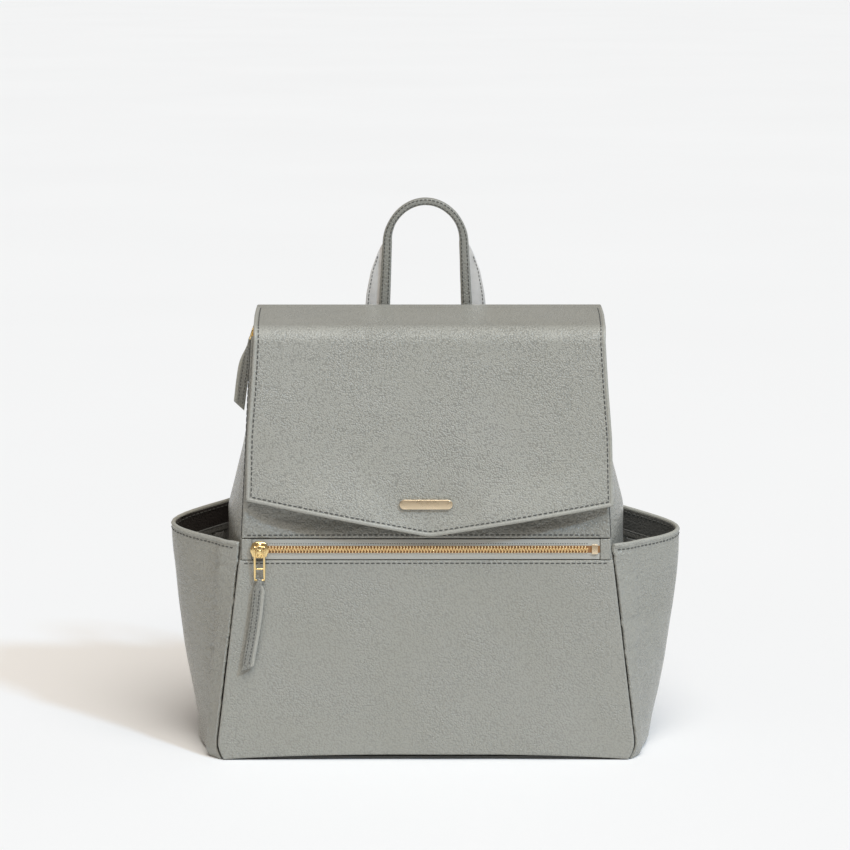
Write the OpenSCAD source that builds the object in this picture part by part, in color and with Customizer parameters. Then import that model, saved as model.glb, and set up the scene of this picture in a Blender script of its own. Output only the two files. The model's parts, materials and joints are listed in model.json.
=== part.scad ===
// Flap-top diaper backpack: a leather shell with two side pockets, a zipped front pocket,
// a zipped mouth under a fold-over flap, a top handle and two shoulder straps.
// Millimetres. +Z up, +X to the right seen from the front, the front faces -Y.
// The origin is on the floor, under the middle of the whole bag.

/* [Body] */
// Width of the front panel at the floor
base_w = 352; // [344:1:356]
// Width of the front panel at the front zip
zip_w = 308; // [304:1:314]
// Width of the front panel at the mouth
mouth_w = 290; // [288:1:292]
// Height of the mouth above the floor
body_h = 352; // [345:1:360]
// Depth of the body at the floor
base_d = 153; // [145:1:160]
// Depth of the body at the mouth
mouth_d = 113; // [106:1:118]
// Thickness of a leather panel with its foam
panel_t = 3; // [2.5:0.1:3.5]

/* [Pockets] */
// Half width over both pockets at the rim
pocket_reach = 217; // [212:1:222]
// Rim height at the front seam
rim_front_z = 181; // [176:1:186]
// Rim height at the back seam
rim_back_z = 194; // [190:1:200]
// Thickness of the pocket leather
pocket_t = 2.5; // [2:0.1:3]

/* [Front zip] */
// Height of the front zip's centre line
zip_z = 176; // [172:1:180]
// Height of the gap that shows the zip, along the panel
zip_gap = 18.4; // [17:0.1:20]
// Half length of the gap
zip_half = 145; // [140:1:146]
// Pitch of the teeth on one side
tooth_pitch = 2.6; // [2.4:0.1:3]

/* [Flap] */
// Width of the flap at its bottom corners
flap_w = 306; // [302:1:309]
// Width of the flap at the fold and over the top
flap_fold_w = 293; // [291:1:296]
// Height of the flap's bottom corners
flap_corner_z = 215; // [212:1:220]
// Height of the flap's middle point
flap_tip_z = 187; // [186:1:194]

/* [Handle] */
// Height of the handle's top above the floor
handle_top_z = 456; // [450:1:464]
// Inner half width of the handle's arch
handle_in_r = 30; // [27:1:33]
// Thickness of the handle seen from the front
handle_rib = 7; // [6:0.5:8]

/* [Straps] */
// How far the shoulder straps stand behind the back panel
strap_reach = 31; // [28:1:34]
// Width of a padded shoulder strap
strap_w = 52; // [46:1:56]
// Thickness of the padding
strap_t = 9; // [8:0.5:10]

/* [Hidden] */
$fn = 48;

leather = [0.60, 0.61, 0.58];
leather_inside = [0.16, 0.14, 0.13];
cloth = [0.30, 0.31, 0.30];
tape_grey = [0.70, 0.70, 0.67];
gold = [0.86, 0.68, 0.34];

// Clear distance between neighbouring pieces
gap = 0.2;
y_front = -(base_d + strap_reach) / 2;
y_back = y_front + base_d;
front_slope = atan((base_d - mouth_d) / body_h);
mouth_y = (y_back + y_front + base_d - mouth_d) / 2;

function lerp(a, b, t) = a + (b - a) * t;
// Outer face of the front, seam between front and side, and seam between back and side
function front_y(z) = y_front + (base_d - mouth_d) * z / body_h;
function seam_x(z) = z < zip_z ? lerp(base_w, zip_w, z / zip_z) / 2
    : lerp(zip_w, mouth_w, (z - zip_z) / (body_h - zip_z)) / 2;
function back_x(z) = lerp(base_w - 4, mouth_w, z / body_h) / 2;
// The side panel swells between its seams, most just above the pocket rim
function side_swell(z) = lookup(z, [[0, 0.5], [100, 4], [150, 10], [204, 14], [244, 5],
    [300, -2], [body_h, -6.5]]);
function side_y(u, z) = lerp(front_y(z) + panel_t + gap, y_back - panel_t - gap, u);
function side_x(u, z) = lerp(seam_x(z), back_x(z), u) + side_swell(z) * pow(sin(180 * u), 0.8);
// The pocket stands off the side panel, in a curve that is sharpest half way back
rim_sag = 2.5;
function rim_z(u) = lerp(rim_front_z, rim_back_z, u) - rim_sag * sin(180 * u);
function pocket_out(z) = pocket_reach - lookup(z, [[0, 26], [18, 22.5], [62, 13], [110, 5.5],
    [150, 1.5], [178, 0.8], [200, 0]]);
function pocket_in_x(u, z) = side_x(u, z) + 0.3
    + (pocket_out(z) - pocket_t - 0.3 - side_x(0.5, z)) * pow(sin(180 * u), 1.3);

// A closed sheet between two surfaces given as functions of u and v, both 0 to 1.
// Seen from outside, u runs left to right and v runs up.
module skin(outer, inner, cols, rows) {
    n = (cols + 1) * (rows + 1);
    grid = [for (r = [0:rows], c = [0:cols]) [c / cols, r / rows]];
    points = concat([for (g = grid) outer(g[0], g[1])], [for (g = grid) inner(g[0], g[1])]);
    a = function(r, c) r * (cols + 1) + c;
    b = function(r, c) n + r * (cols + 1) + c;
    faces = concat(
        [for (r = [0:rows - 1], c = [0:cols - 1]) [a(r, c), a(r + 1, c), a(r + 1, c + 1)]],
        [for (r = [0:rows - 1], c = [0:cols - 1]) [a(r, c), a(r + 1, c + 1), a(r, c + 1)]],
        [for (r = [0:rows - 1], c = [0:cols - 1]) [b(r, c), b(r + 1, c + 1), b(r + 1, c)]],
        [for (r = [0:rows - 1], c = [0:cols - 1]) [b(r, c), b(r, c + 1), b(r + 1, c + 1)]],
        [for (c = [0:cols - 1]) [a(0, c), a(0, c + 1), b(0, c + 1)]],
        [for (c = [0:cols - 1]) [a(0, c), b(0, c + 1), b(0, c)]],
        [for (c = [0:cols - 1]) [a(rows, c + 1), a(rows, c), b(rows, c)]],
        [for (c = [0:cols - 1]) [a(rows, c + 1), b(rows, c), b(rows, c + 1)]],
        [for (r = [0:rows - 1]) [a(r + 1, 0), a(r, 0), b(r, 0)]],
        [for (r = [0:rows - 1]) [a(r + 1, 0), b(r, 0), b(r + 1, 0)]],
        [for (r = [0:rows - 1]) [a(r, cols), a(r + 1, cols), b(r + 1, cols)]],
        [for (r = [0:rows - 1]) [a(r, cols), b(r + 1, cols), b(r, cols)]]);
    polyhedron(points, faces, convexity = 6);
}

// A box whose front and sides lean: half width and front y at the bottom and at the top
module leaning_box(z0, z1, x0, x1, front0, front1, back) {
    polyhedron([[-x0, front0, z0], [x0, front0, z0], [x0, back, z0], [-x0, back, z0],
        [-x1, front1, z1], [x1, front1, z1], [x1, back, z1], [-x1, back, z1]],
        [[0, 1, 2, 3], [7, 6, 5, 4], [0, 4, 5, 1], [1, 5, 6, 2], [2, 6, 7, 3], [3, 7, 4, 0]]);
}

// Puts its children on the front's outer face at height z: local z runs up the face,
// local -y points out of it
module on_front(z) translate([0, front_y(z), z]) rotate([-front_slope, 0, 0]) children();

/* ---- shell ---- */

half_gap_z = zip_gap * cos(front_slope) / 2;

module front_sheet(z0, z1) {
    skin(function(u, v) [(2 * u - 1) * seam_x(lerp(z0, z1, v)), front_y(lerp(z0, z1, v)),
        lerp(z0, z1, v)],
        function(u, v) [(2 * u - 1) * seam_x(lerp(z0, z1, v)), front_y(lerp(z0, z1, v))
        + panel_t, lerp(z0, z1, v)], 1, 1);
}

module front_panel() color(leather) front_sheet(0, zip_z - half_gap_z);
module front_upper_panel() color(leather) front_sheet(zip_z + half_gap_z, body_h);

// Plain pieces at both ends of the zip
module zip_facings() color(leather) on_front(zip_z) for (side = [-1, 1])
    translate([side * (zip_half + seam_x(zip_z + half_gap_z)) / 2, panel_t / 2, 0])
    cube([seam_x(zip_z + half_gap_z) - zip_half - gap, panel_t, zip_gap - 5 * gap], center = true);

module back_panel() color(leather)
    skin(function(u, v) [(1 - 2 * u) * back_x(body_h * v), y_back, body_h * v],
    function(u, v) [(1 - 2 * u) * back_x(body_h * v), y_back - panel_t, body_h * v], 1, 1);

module gusset_right() color(leather)
    skin(function(u, v) [side_x(u, body_h * v), side_y(u, body_h * v), body_h * v],
    function(u, v) [side_x(u, body_h * v) - panel_t, side_y(u, body_h * v), body_h * v], 8, 14);
module gusset_left() mirror([1, 0, 0]) gusset_right();

side_clear = panel_t + 2 * gap;
base_half = back_x(panel_t) - side_clear;
module base_panel() color(leather)
    leaning_box(0, panel_t, base_half, base_half, front_y(panel_t) + side_clear,
    front_y(panel_t) + side_clear, y_back - side_clear);

board_inset = 12;
board_t = 3;
module base_board() color(leather_inside)
    leaning_box(panel_t + gap, panel_t + gap + board_t, seam_x(0) - board_inset - 4,
    seam_x(0) - board_inset - 4, front_y(0) + board_inset, front_y(0) + board_inset,
    y_back - board_inset);

/* ---- inside ---- */

lining_t = 0.8;
lining_z0 = panel_t + board_t + 1;
lining_z1 = body_h - 13;
lining_front = panel_t + 3;
lining_x0 = 153;
lining_x1 = 134;
module lining() color(cloth) difference() {
    leaning_box(lining_z0, lining_z1, lining_x0, lining_x1, front_y(lining_z0) + lining_front,
        front_y(lining_z1) + lining_front, y_back - panel_t - gap);
    leaning_box(lining_z0 + lining_t, lining_z1 + 1, lining_x0 - lining_t, lining_x1 - lining_t,
        front_y(lining_z0) + lining_front + lining_t,
        front_y(lining_z1 + 1) + lining_front + lining_t, y_back - panel_t - gap - lining_t);
}

slip_half = 95;
slip_z0 = 110;
slip_z1 = 245;
module slip_pocket() color(cloth)
    translate([-slip_half, y_back - panel_t - 4, slip_z0]) cube([2 * slip_half, 1.2, slip_z1 - slip_z0]);

pocket_bag_z0 = 24;
module front_pocket_lining() color(cloth) on_front(zip_z)
    translate([-zip_half + 1, panel_t + 1, -(zip_z - pocket_bag_z0)])
    cube([2 * zip_half - 2, 1, zip_z - pocket_bag_z0 + zip_gap / 2 + 6]);

/* ---- zips: local frame has x along the chain, z across it, -y out of the leather ---- */

tape_y = 1.2;
tape_t = 0.8;
tooth_w = 0.95;
tooth_reach = 1.5;
chain_half = 4;
rail = 1.3;

// One side of a chain from x0 to x1; the teeth point down and reach past the centre line
module teeth_row(x0, x1, shift) {
    count = floor((x1 - x0 - tooth_w - shift) / tooth_pitch);
    outline = concat([[x0, chain_half], [x0, chain_half - rail]],
        [for (i = [0:count]) let (x = x0 + shift + i * tooth_pitch) each [
            [x + 0.01, chain_half - rail], [x + 0.01, -tooth_reach],
            [x + tooth_w, -tooth_reach], [x + tooth_w, chain_half - rail]]],
        [[x1, chain_half - rail], [x1, chain_half]]);
    rotate([90, 0, 0]) linear_extrude(2) polygon(outline);
}

chain_x0 = -zip_half + 6;
chain_x1 = zip_half - 8;
module front_teeth_upper() color(gold) on_front(zip_z) translate([0, tape_y - 0.1, 0])
    teeth_row(chain_x0, chain_x1, 0.6);
module front_teeth_lower() color(gold) on_front(zip_z) translate([0, tape_y - 0.1, 0])
    mirror([0, 0, 1]) teeth_row(chain_x0, chain_x1, 0.6 + tooth_pitch / 2);

module front_tape() translate([-zip_half + gap, tape_y, 0.3])
    cube([2 * zip_half - 2 * gap, tape_t, zip_gap / 2 - 2 * gap - 0.3]);
module front_tape_upper() color(tape_grey) on_front(zip_z) front_tape();
module front_tape_lower() color(tape_grey) on_front(zip_z) mirror([0, 0, 1]) front_tape();

// A wide stop past the last tooth, and a narrow one under the closed slider
module front_zip_stops() color(gold) on_front(zip_z) {
    translate([chain_x1 + 1, -0.8, -chain_half]) cube([5, 1.8, 2 * chain_half]);
    translate([chain_x0 - 3, -0.8, -2.5]) cube([2.4, 1.8, 5]);
}

plate_y0 = -3.2;
plate_y1 = -1.4;
pin_r = 0.8;
pin_y = -5.2;
pin_z = 2.5;
// A slider: a rounded plate over the teeth, two side cheeks and a crown that holds the pull.
// turn lays the plate along the chain
module slider_plate(turn) {
    rotate([0, turn, 0]) rotate([90, 0, 0]) translate([0, 0, -plate_y1]) linear_extrude(plate_y1 - plate_y0)
        intersection() {
            union() {
                translate([-1, 0]) circle(r = 6.8);
                translate([0, -5]) square([7.5, 10]);
            }
            square([15, 13.6], center = true);
        }
    rotate([0, turn, 0]) for (s = [-1, 1]) translate([-1, (plate_y1 + 0.9 + plate_y0 + 0.4) / 2, s * 5.4])
        cube([9, 0.9 - plate_y0 - 0.4, 1.4], center = true);
    difference() {
        translate([-1.3, pin_y - 2, -1.5]) cube([2.6, 2 + plate_y0 - pin_y + 0.2, 8]);
        translate([-2, pin_y, pin_z]) rotate([0, 90, 0]) cylinder(r = pin_r + 0.35, h = 4);
    }
}

link_half = 3.9;
// The pull's metal link: two bars with a pin at the top, a bar part way and a pin at the foot
module pull_link(length, foot_y) {
    lean = asin((foot_y - pin_y) / length);
    translate([0, pin_y, pin_z]) rotate([lean, 0, 0]) {
        for (s = [-1, 1]) translate([s * link_half, 0, -length / 2])
            cube([2 * pin_r, 2 * pin_r, length + 2 * pin_r], center = true);
        for (z = [0, -length]) translate([-link_half, 0, z]) rotate([0, 90, 0])
            cylinder(r = pin_r, h = 2 * link_half);
        if (length > 20) translate([0, 0, -length * 0.66])
            cube([2 * link_half, 2 * pin_r, 2 * pin_r], center = true);
    }
}

tab_w = 10;
tab_t = 3.2;
// Half width of the tab where it goes round the pin
neck = 1.6;
// Room round the pin, so the loop can also swing sideways on it
pin_clear = 0.6;
loop_r = 1.9;
// A folded leather tab: its loop turns on the link's foot pin at the local origin
module pull_tab(length) {
    difference() {
        union() {
            rotate([90, 0, 0]) linear_extrude(tab_t, center = true)
                polygon([[-neck, 0], [neck, 0], [neck, -2.6], [tab_w / 2, -8],
                [tab_w / 2, -length + 7], [-tab_w / 2 + 1, -length],
                [-tab_w / 2, -length + 2], [-tab_w / 2, -8], [-neck, -2.6]]);
            translate([-neck, 0, 0]) rotate([0, 90, 0]) cylinder(r = loop_r, h = 2 * neck);
        }
        translate([-6, 0, 0]) rotate([0, 90, 0]) cylinder(r = pin_r + pin_clear, h = 12);
    }
}

slider_x = -138.5;
link_length = 28;
foot_y = -3;
tab_tilt = 7.5;
foot_z = pin_z - sqrt(pow(link_length, 2) - pow(foot_y - pin_y, 2));
module at_front_slider() on_front(zip_z) translate([slider_x, 0, 0]) children();
module front_slider() color(gold) at_front_slider() slider_plate(0);
module front_link() color(gold) at_front_slider() pull_link(link_length, foot_y);
module front_tab() color(leather) at_front_slider() translate([0, foot_y, foot_z])
    rotate([0, tab_tilt, 0]) pull_tab(78);

/* ---- mouth under the flap ---- */

strip_end_y = mouth_y - chain_half;
strip_x = 132.5;
strip_clear = 0.8;
module mouth_strip(y0, y1) translate([-strip_x, y0, body_h - 3]) cube([2 * strip_x, y1 - y0, 3]);
module mouth_strip_front() color(leather)
    mouth_strip(front_y(body_h) + panel_t + strip_clear, strip_end_y - gap);
module mouth_strip_back() color(leather)
    mouth_strip(2 * mouth_y - strip_end_y + gap, y_back - panel_t - strip_clear);
// Tape under the leather's edge, with its teeth on top
module main_chain(shift) {
    translate([-strip_x, -chain_half, -1.6]) cube([2 * strip_x, chain_half - 0.3, tape_t]);
    translate([0, 0, -tape_t]) rotate([-90, 0, 0]) mirror([0, 0, 1])
        teeth_row(-strip_x + 2, strip_x - 2, shift);
}
module main_teeth_front() color(gold) translate([0, mouth_y, body_h]) main_chain(0.6);
module main_teeth_back() color(gold) translate([0, mouth_y, body_h]) mirror([0, 1, 0])
    main_chain(0.6 + tooth_pitch / 2);
// Leather patches that close both ends of the mouth
module mouth_ends() color(leather) for (side = [-1, 1])
    translate([side * (strip_x + 0.8) + (side < 0 ? -1.2 : 0), mouth_y - 45, body_h - 9])
    cube([1.2, 90, 9]);

/* ---- side stretch of the main zip ---- */

side_zip_z = 344;
side_zip_l = 56;
side_zip_foot = side_zip_z - side_zip_l;
side_lean = atan((side_x(0.5, side_zip_foot) - side_x(0.5, body_h)) / (body_h - side_zip_foot));
// Local frame on the side panel's upper stretch, like on_front's
module on_side(side) translate([side * (side_x(0.5, side_zip_z) + 0.5), mouth_y, side_zip_z])
    mirror([side > 0 ? 1 : 0, 0, 0]) rotate([0, 0, -90]) rotate([-side_lean, 0, 0]) children();
module side_chain() {
    translate([-9, -0.8, -side_zip_l]) cube([18, 0.8, side_zip_l + 6]);
    translate([-3.2, -1.6, -side_zip_l + 3]) cube([6.4, 0.9, side_zip_l]);
}
module side_zip_left() color(tape_grey) on_side(-1) side_chain();
module side_zip_right() color(tape_grey) on_side(1) side_chain();
main_slider_z = 3;
main_link_length = 8;
main_tab_tilt = -2;
module at_main_slider() on_side(-1) translate([0, -2, main_slider_z]) children();
main_foot_y = -6.2;
main_foot_z = pin_z - sqrt(pow(main_link_length, 2) - pow(main_foot_y - pin_y, 2));
module main_slider() color(gold) at_main_slider() slider_plate(90);
module main_link() color(gold) at_main_slider() pull_link(main_link_length, main_foot_y);
module main_tab() color(leather) at_main_slider() translate([0, main_foot_y, main_foot_z])
    rotate([main_tab_tilt, 0, 0]) pull_tab(62);

/* ---- pockets ---- */

// One layer of a pocket: z_low and z_high are functions of u, inset is measured from the
// leather's inner face, u0 keeps it out of the seams
module pocket_layer(z_low, z_high, inset, thickness, u0, cols, rows) {
    along = function(u) lerp(u0, 1 - u0, u);
    height = function(u, v) lerp(z_low(along(u)), z_high(along(u)), v);
    skin(function(u, v) [pocket_in_x(along(u), height(u, v)) - inset,
        side_y(along(u), height(u, v)), height(u, v)],
        function(u, v) [pocket_in_x(along(u), height(u, v)) - inset - thickness,
        side_y(along(u), height(u, v)), height(u, v)], cols, rows);
}
facing_h = 22;
elastic_h = 5;
module pocket_right() color(leather)
    pocket_layer(function(u) 0, function(u) rim_z(u), -pocket_t, pocket_t, 0, 18, 8);
module pocket_facing_right() color(leather_inside)
    pocket_layer(function(u) rim_z(u) - facing_h, function(u) rim_z(u) - 0.6, 0.5, 1, 0.1, 14, 1);
module pocket_elastic_right() color(cloth)
    pocket_layer(function(u) rim_z(u) - facing_h - elastic_h, function(u) rim_z(u) - facing_h
    - 0.4, 0.5, 1.6, 0.1, 14, 1);
module pocket_lining_right() color(cloth)
    pocket_layer(function(u) 8, function(u) rim_z(u) - facing_h - elastic_h - 0.4, 1, 0.8,
    0.14, 14, 5);
// A crescent between the side panel's foot and the pocket's foot
floor_u = [for (i = [1:15]) i / 16];
module pocket_floors() color(leather) for (s = [0, 1]) mirror([s, 0, 0]) linear_extrude(panel_t)
    polygon(concat([for (u = floor_u) [pocket_in_x(u, 0) - gap, side_y(u, 0)]],
    [for (i = [14:-1:0]) [side_x(floor_u[i], 0) + gap, side_y(floor_u[i], 0)]]));
module pocket_left() mirror([1, 0, 0]) pocket_right();
module pocket_facing_left() mirror([1, 0, 0]) pocket_facing_right();
module pocket_elastic_left() mirror([1, 0, 0]) pocket_elastic_right();
module pocket_lining_left() mirror([1, 0, 0]) pocket_lining_right();

/* ---- flap ---- */

flap_z = body_h + 3.6;
flap_top_t = 4.8;
flap_offset = 7;
flap_outline = [[-flap_fold_w / 2, 0], [-flap_w / 2, flap_corner_z - body_h],
    [0, flap_tip_z - body_h], [flap_w / 2, flap_corner_z - body_h], [flap_fold_w / 2, 0]];
flap_front_y = front_y(body_h) - flap_offset;
module flap_top_sheet(z0, thickness) translate([-flap_fold_w / 2, flap_front_y + 4, flap_z + z0])
    cube([flap_fold_w, y_back - 1.5 - flap_front_y - 4, thickness]);
module flap_top_leather() color(leather) flap_top_sheet(2, flap_top_t - 2);
module flap_top_lining() color(cloth) flap_top_sheet(0, 1.8);
// A layer of the hanging part: depth is measured inwards from the flap's outer face
module flap_front_sheet(depth, thickness, inset) on_front(body_h)
    translate([0, -flap_offset + depth + thickness, 0]) rotate([90, 0, 0])
    linear_extrude(thickness) offset(delta = -inset) polygon(flap_outline);
module flap_front_leather() color(leather) flap_front_sheet(0, 1.6, 0);
module flap_front_foam() color(cloth) flap_front_sheet(1.7, 1.1, 5);
module flap_front_lining() color(cloth) flap_front_sheet(2.9, 1.1, 0.6);

snap_z = 206;
module snap_disc(y0, y1, r) on_front(snap_z) translate([0, y1, 0]) rotate([90, 0, 0])
    cylinder(r = r, h = y1 - y0);
module snap_socket() color(gold) snap_disc(-1.3, -0.05, 8);
module snap_stud() color(gold) snap_disc(-2.9, -1.65, 7);

badge_z = 214;
badge_l = 44;
badge_h = 8;
badge_t = 1.6;
module badge() color(gold) on_front(badge_z) translate([0, -flap_offset - 0.05, 0])
    rotate([90, 0, 0]) linear_extrude(badge_t) {
        square([badge_l - badge_h, badge_h], center = true);
        for (s = [-1, 1]) translate([s * (badge_l - badge_h) / 2, 0]) circle(d = badge_h);
    }

/* ---- back: anchor strip, yoke, handle, straps ---- */

strip_t = 2.8;
module flap_anchor_strip() color(leather)
    translate([-143, y_back + gap, 296]) cube([286, strip_t, body_h - 296]);
yoke_y = y_back + strip_t + 2 * gap;
yoke_t = 3.6;
module yoke() color(leather) translate([0, yoke_y + yoke_t, 0]) rotate([90, 0, 0])
    linear_extrude(yoke_t) polygon([[-64, 346], [-104, 300], [-96, 282], [96, 282], [104, 300],
    [64, 346]]);

handle_y = yoke_y + yoke_t + 0.8;
handle_d = 6;
handle_hinge_z = 320;
handle_foot_in = 32.5;
handle_foot_out = 43.5;
arch_z = handle_top_z - handle_in_r - handle_rib;
leg_lean = (handle_foot_out - handle_in_r - handle_rib) / (arch_z - handle_hinge_z);
// Half of a loop: foot, straight leg and arch of radius r
function loop(foot, r) = concat([[foot, handle_hinge_z]],
    [for (a = [0:10:180]) [r * cos(a), arch_z + r * sin(a)]], [[-foot, handle_hinge_z]]);
module upright(y0, y1) translate([0, y1, 0]) rotate([90, 0, 0]) linear_extrude(y1 - y0) children();
module handle_grip() color(leather) {
    upright(handle_y, handle_y + handle_d) difference() {
        polygon(loop(handle_foot_out, handle_in_r + handle_rib));
        translate([0, -0.01]) polygon(loop(handle_foot_in, handle_in_r));
    }
    for (s = [-1, 1]) translate([s * (handle_foot_in + handle_foot_out) / 2,
        handle_y + handle_d / 2, handle_hinge_z]) rotate([0, 90, 0])
        cylinder(d = handle_d, h = handle_foot_out - handle_foot_in, center = true);
}
wing_top = 412;
function leg_x(z) = handle_foot_out - leg_lean * (z - handle_hinge_z);
module handle_backing() color(tape_grey) upright(handle_y + 2, handle_y + 4) for (s = [0, 1])
    mirror([s, 0]) polygon([[leg_x(handle_hinge_z), handle_hinge_z],
    [54, handle_hinge_z], [53.5, 350], [50, 382], [44, 402], [leg_x(wing_top), wing_top]]);

strap_top = [60, 302];
strap_foot_z = 102;
strap_splay = 9;
strap_bow = 14;
strap_y = y_back + 8;
function strap_path(t, off) = [strap_y + off + strap_bow * pow(sin(180 * t), 0.7),
    strap_top[1] - t * (strap_top[1] - strap_foot_z)];
module strap_right() color(leather) translate([strap_top[0], 0, strap_top[1]])
    rotate([0, -strap_splay, 0]) translate([0, 0, -strap_top[1]]) rotate([90, 0, 90])
    linear_extrude(strap_w, center = true) polygon(concat(
    [for (i = [0:16]) strap_path(i / 16, 0)], [for (i = [16:-1:0]) strap_path(i / 16, strap_t)]));
module strap_left() mirror([1, 0, 0]) strap_right();

// The webbing runs straight from the strap's foot to the base corner
web_top = [96, y_back + 11.5, 96];
web_foot = [136, y_back + 3.6, 30];
web_run = web_top - web_foot;
web_l = norm(web_run);
web_turn = asin(web_run[0] / web_l);
web_tilt = -asin(web_run[1] / web_l / cos(web_turn));
web_w = 25;
web_t = 1.8;
module along_webbing() translate(web_foot) rotate([web_tilt, 0, 0]) rotate([0, web_turn, 0])
    children();
module webbing_right() color(cloth) along_webbing() translate([0, 0, web_l / 2])
    cube([web_w, web_t, web_l], center = true);
module webbing_left() mirror([1, 0, 0]) webbing_right();
adjuster_at = web_l - 9;
module adjuster_right() color(gold) along_webbing() translate([0, 0, adjuster_at])
    difference() {
        cube([web_w + 7, web_t + 3, 11], center = true);
        cube([web_w + 1, web_t + 0.9, 12], center = true);
    }
module adjuster_left() mirror([1, 0, 0]) adjuster_right();
module strap_anchor_right() color(leather) upright(y_back + gap, y_back + gap + 2)
    polygon([[118, 14], [158, 14], [156, 52]]);
module strap_anchor_left() mirror([1, 0, 0]) strap_anchor_right();

front_panel();
front_upper_panel();
zip_facings();
back_panel();
gusset_left();
gusset_right();
base_panel();
base_board();
lining();
slip_pocket();
front_pocket_lining();
front_tape_upper();
front_tape_lower();
front_teeth_upper();
front_teeth_lower();
front_zip_stops();
snap_socket();
flap_anchor_strip();
yoke();
pocket_left();
pocket_right();
pocket_floors();
pocket_facing_left();
pocket_facing_right();
pocket_elastic_left();
pocket_elastic_right();
pocket_lining_left();
pocket_lining_right();
side_zip_left();
side_zip_right();
mouth_ends();
strap_left();
strap_right();
webbing_left();
webbing_right();
strap_anchor_left();
strap_anchor_right();
mouth_strip_front();
main_teeth_front();
mouth_strip_back();
main_teeth_back();
flap_top_leather();
flap_top_lining();
flap_front_leather();
flap_front_foam();
flap_front_lining();
snap_stud();
badge();
front_slider();
front_link();
front_tab();
main_slider();
main_link();
main_tab();
handle_grip();
handle_backing();
adjuster_left();
adjuster_right();
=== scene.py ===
"""Looks of the flap-top diaper backpack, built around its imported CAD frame. Metres, in the CAD's frame."""
import json
import math

import bmesh
import bpy
import numpy as np
from mathutils import Matrix, Vector, noise
from mathutils.bvhtree import BVHTree

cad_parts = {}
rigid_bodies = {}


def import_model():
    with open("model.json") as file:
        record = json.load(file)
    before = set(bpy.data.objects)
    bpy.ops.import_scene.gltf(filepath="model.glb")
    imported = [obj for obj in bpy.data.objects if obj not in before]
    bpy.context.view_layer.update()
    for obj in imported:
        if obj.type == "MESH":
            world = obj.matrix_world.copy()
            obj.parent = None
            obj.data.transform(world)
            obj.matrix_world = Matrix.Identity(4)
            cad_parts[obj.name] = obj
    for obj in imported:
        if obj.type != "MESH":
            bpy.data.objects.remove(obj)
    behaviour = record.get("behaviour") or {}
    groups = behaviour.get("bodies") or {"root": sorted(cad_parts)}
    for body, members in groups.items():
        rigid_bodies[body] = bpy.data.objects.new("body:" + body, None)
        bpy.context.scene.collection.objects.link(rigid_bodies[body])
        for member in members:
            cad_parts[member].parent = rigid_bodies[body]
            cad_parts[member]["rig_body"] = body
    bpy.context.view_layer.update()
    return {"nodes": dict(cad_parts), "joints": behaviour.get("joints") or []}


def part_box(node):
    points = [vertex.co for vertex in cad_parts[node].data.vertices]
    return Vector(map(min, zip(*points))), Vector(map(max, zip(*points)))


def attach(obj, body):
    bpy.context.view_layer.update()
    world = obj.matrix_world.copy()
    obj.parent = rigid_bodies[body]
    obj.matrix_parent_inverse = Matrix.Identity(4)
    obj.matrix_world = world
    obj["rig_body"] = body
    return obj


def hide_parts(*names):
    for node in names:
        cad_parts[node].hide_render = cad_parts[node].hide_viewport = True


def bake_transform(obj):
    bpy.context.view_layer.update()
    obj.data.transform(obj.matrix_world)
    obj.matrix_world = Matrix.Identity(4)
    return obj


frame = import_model()
MM = 0.001


# ---------------------------------------------------------------- measures taken from the frame

def half_width(node, z, reach=2 * MM):
    """Largest |x| of a CAD node's corners near height z."""
    return max(abs(v.co.x) for v in frame["nodes"][node].data.vertices if abs(v.co.z - z) < reach)


def mix(a, b, t):
    return a + (b - a) * t


def clamp(t):
    return min(1.0, max(0.0, t))


def ease(t):
    """From 0 to 1 with a level start and end."""
    return t * t * (3 - 2 * t)


def runs(points):
    """The distance along a line at each of its points."""
    run = [0.0]
    for a, b in zip(points, points[1:]):
        run.append(run[-1] + (b - a).length)
    return run


def tree_of(mesh):
    return BVHTree.FromPolygons([v.co for v in mesh.vertices], [p.vertices for p in mesh.polygons])


SIDES = ((-1, "left"), (1, "right"))
BACKWARD = Vector((0, 1, 0))
FORWARD = Vector((0, -1, 0))


FRONT_LO, FRONT_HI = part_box("front_panel")
UPPER_LO, UPPER_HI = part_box("front_upper_panel")
BODY_TOP = UPPER_HI.z
PANEL_TOP = FRONT_HI.z
UPPER_FOOT = UPPER_LO.z
BACK_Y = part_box("back_panel")[1].y
SLOPE = (UPPER_LO.y - FRONT_LO.y) / UPPER_LO.z
LEAN = math.atan(SLOPE)
BASE_X = FRONT_HI.x
ZIP_X = half_width("front_upper_panel", UPPER_FOOT)
MOUTH_X = half_width("front_upper_panel", BODY_TOP)
LEATHER_T = 3 * MM
FRONT_OUT = Vector((0, -math.cos(LEAN), math.sin(LEAN)))
FRONT_UP = Vector((0, math.sin(LEAN), math.cos(LEAN)))


def front_y(z):
    return FRONT_LO.y + SLOPE * z


def recess_at(z):
    """How far, from 0 to 1, the upper front is pressed in at a height: only below the flap's edge."""
    low = clamp((z - UPPER_FOOT - 2 * MM) / (16 * MM))
    high = clamp((BODY_TOP - 40 * MM - z) / (50 * MM))
    return ease(low) * ease(high)


def seam_x(z):
    if z < UPPER_FOOT:
        return mix(BASE_X, ZIP_X, z / UPPER_FOOT)
    return mix(ZIP_X, MOUTH_X, (z - UPPER_FOOT) / (BODY_TOP - UPPER_FOOT))


class Outside:
    """The outer face of a CAD node, found by looking at it from far out along X."""

    def __init__(self, node, sign):
        self.tree = tree_of(frame["nodes"][node].data)
        self.sign = sign
        self.low, self.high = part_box(node)

    def x(self, y, z):
        hit = self.tree.ray_cast(Vector((self.sign, y, z)), Vector((-self.sign, 0, 0)))[0]
        return None if hit is None else abs(hit.x)


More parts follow.
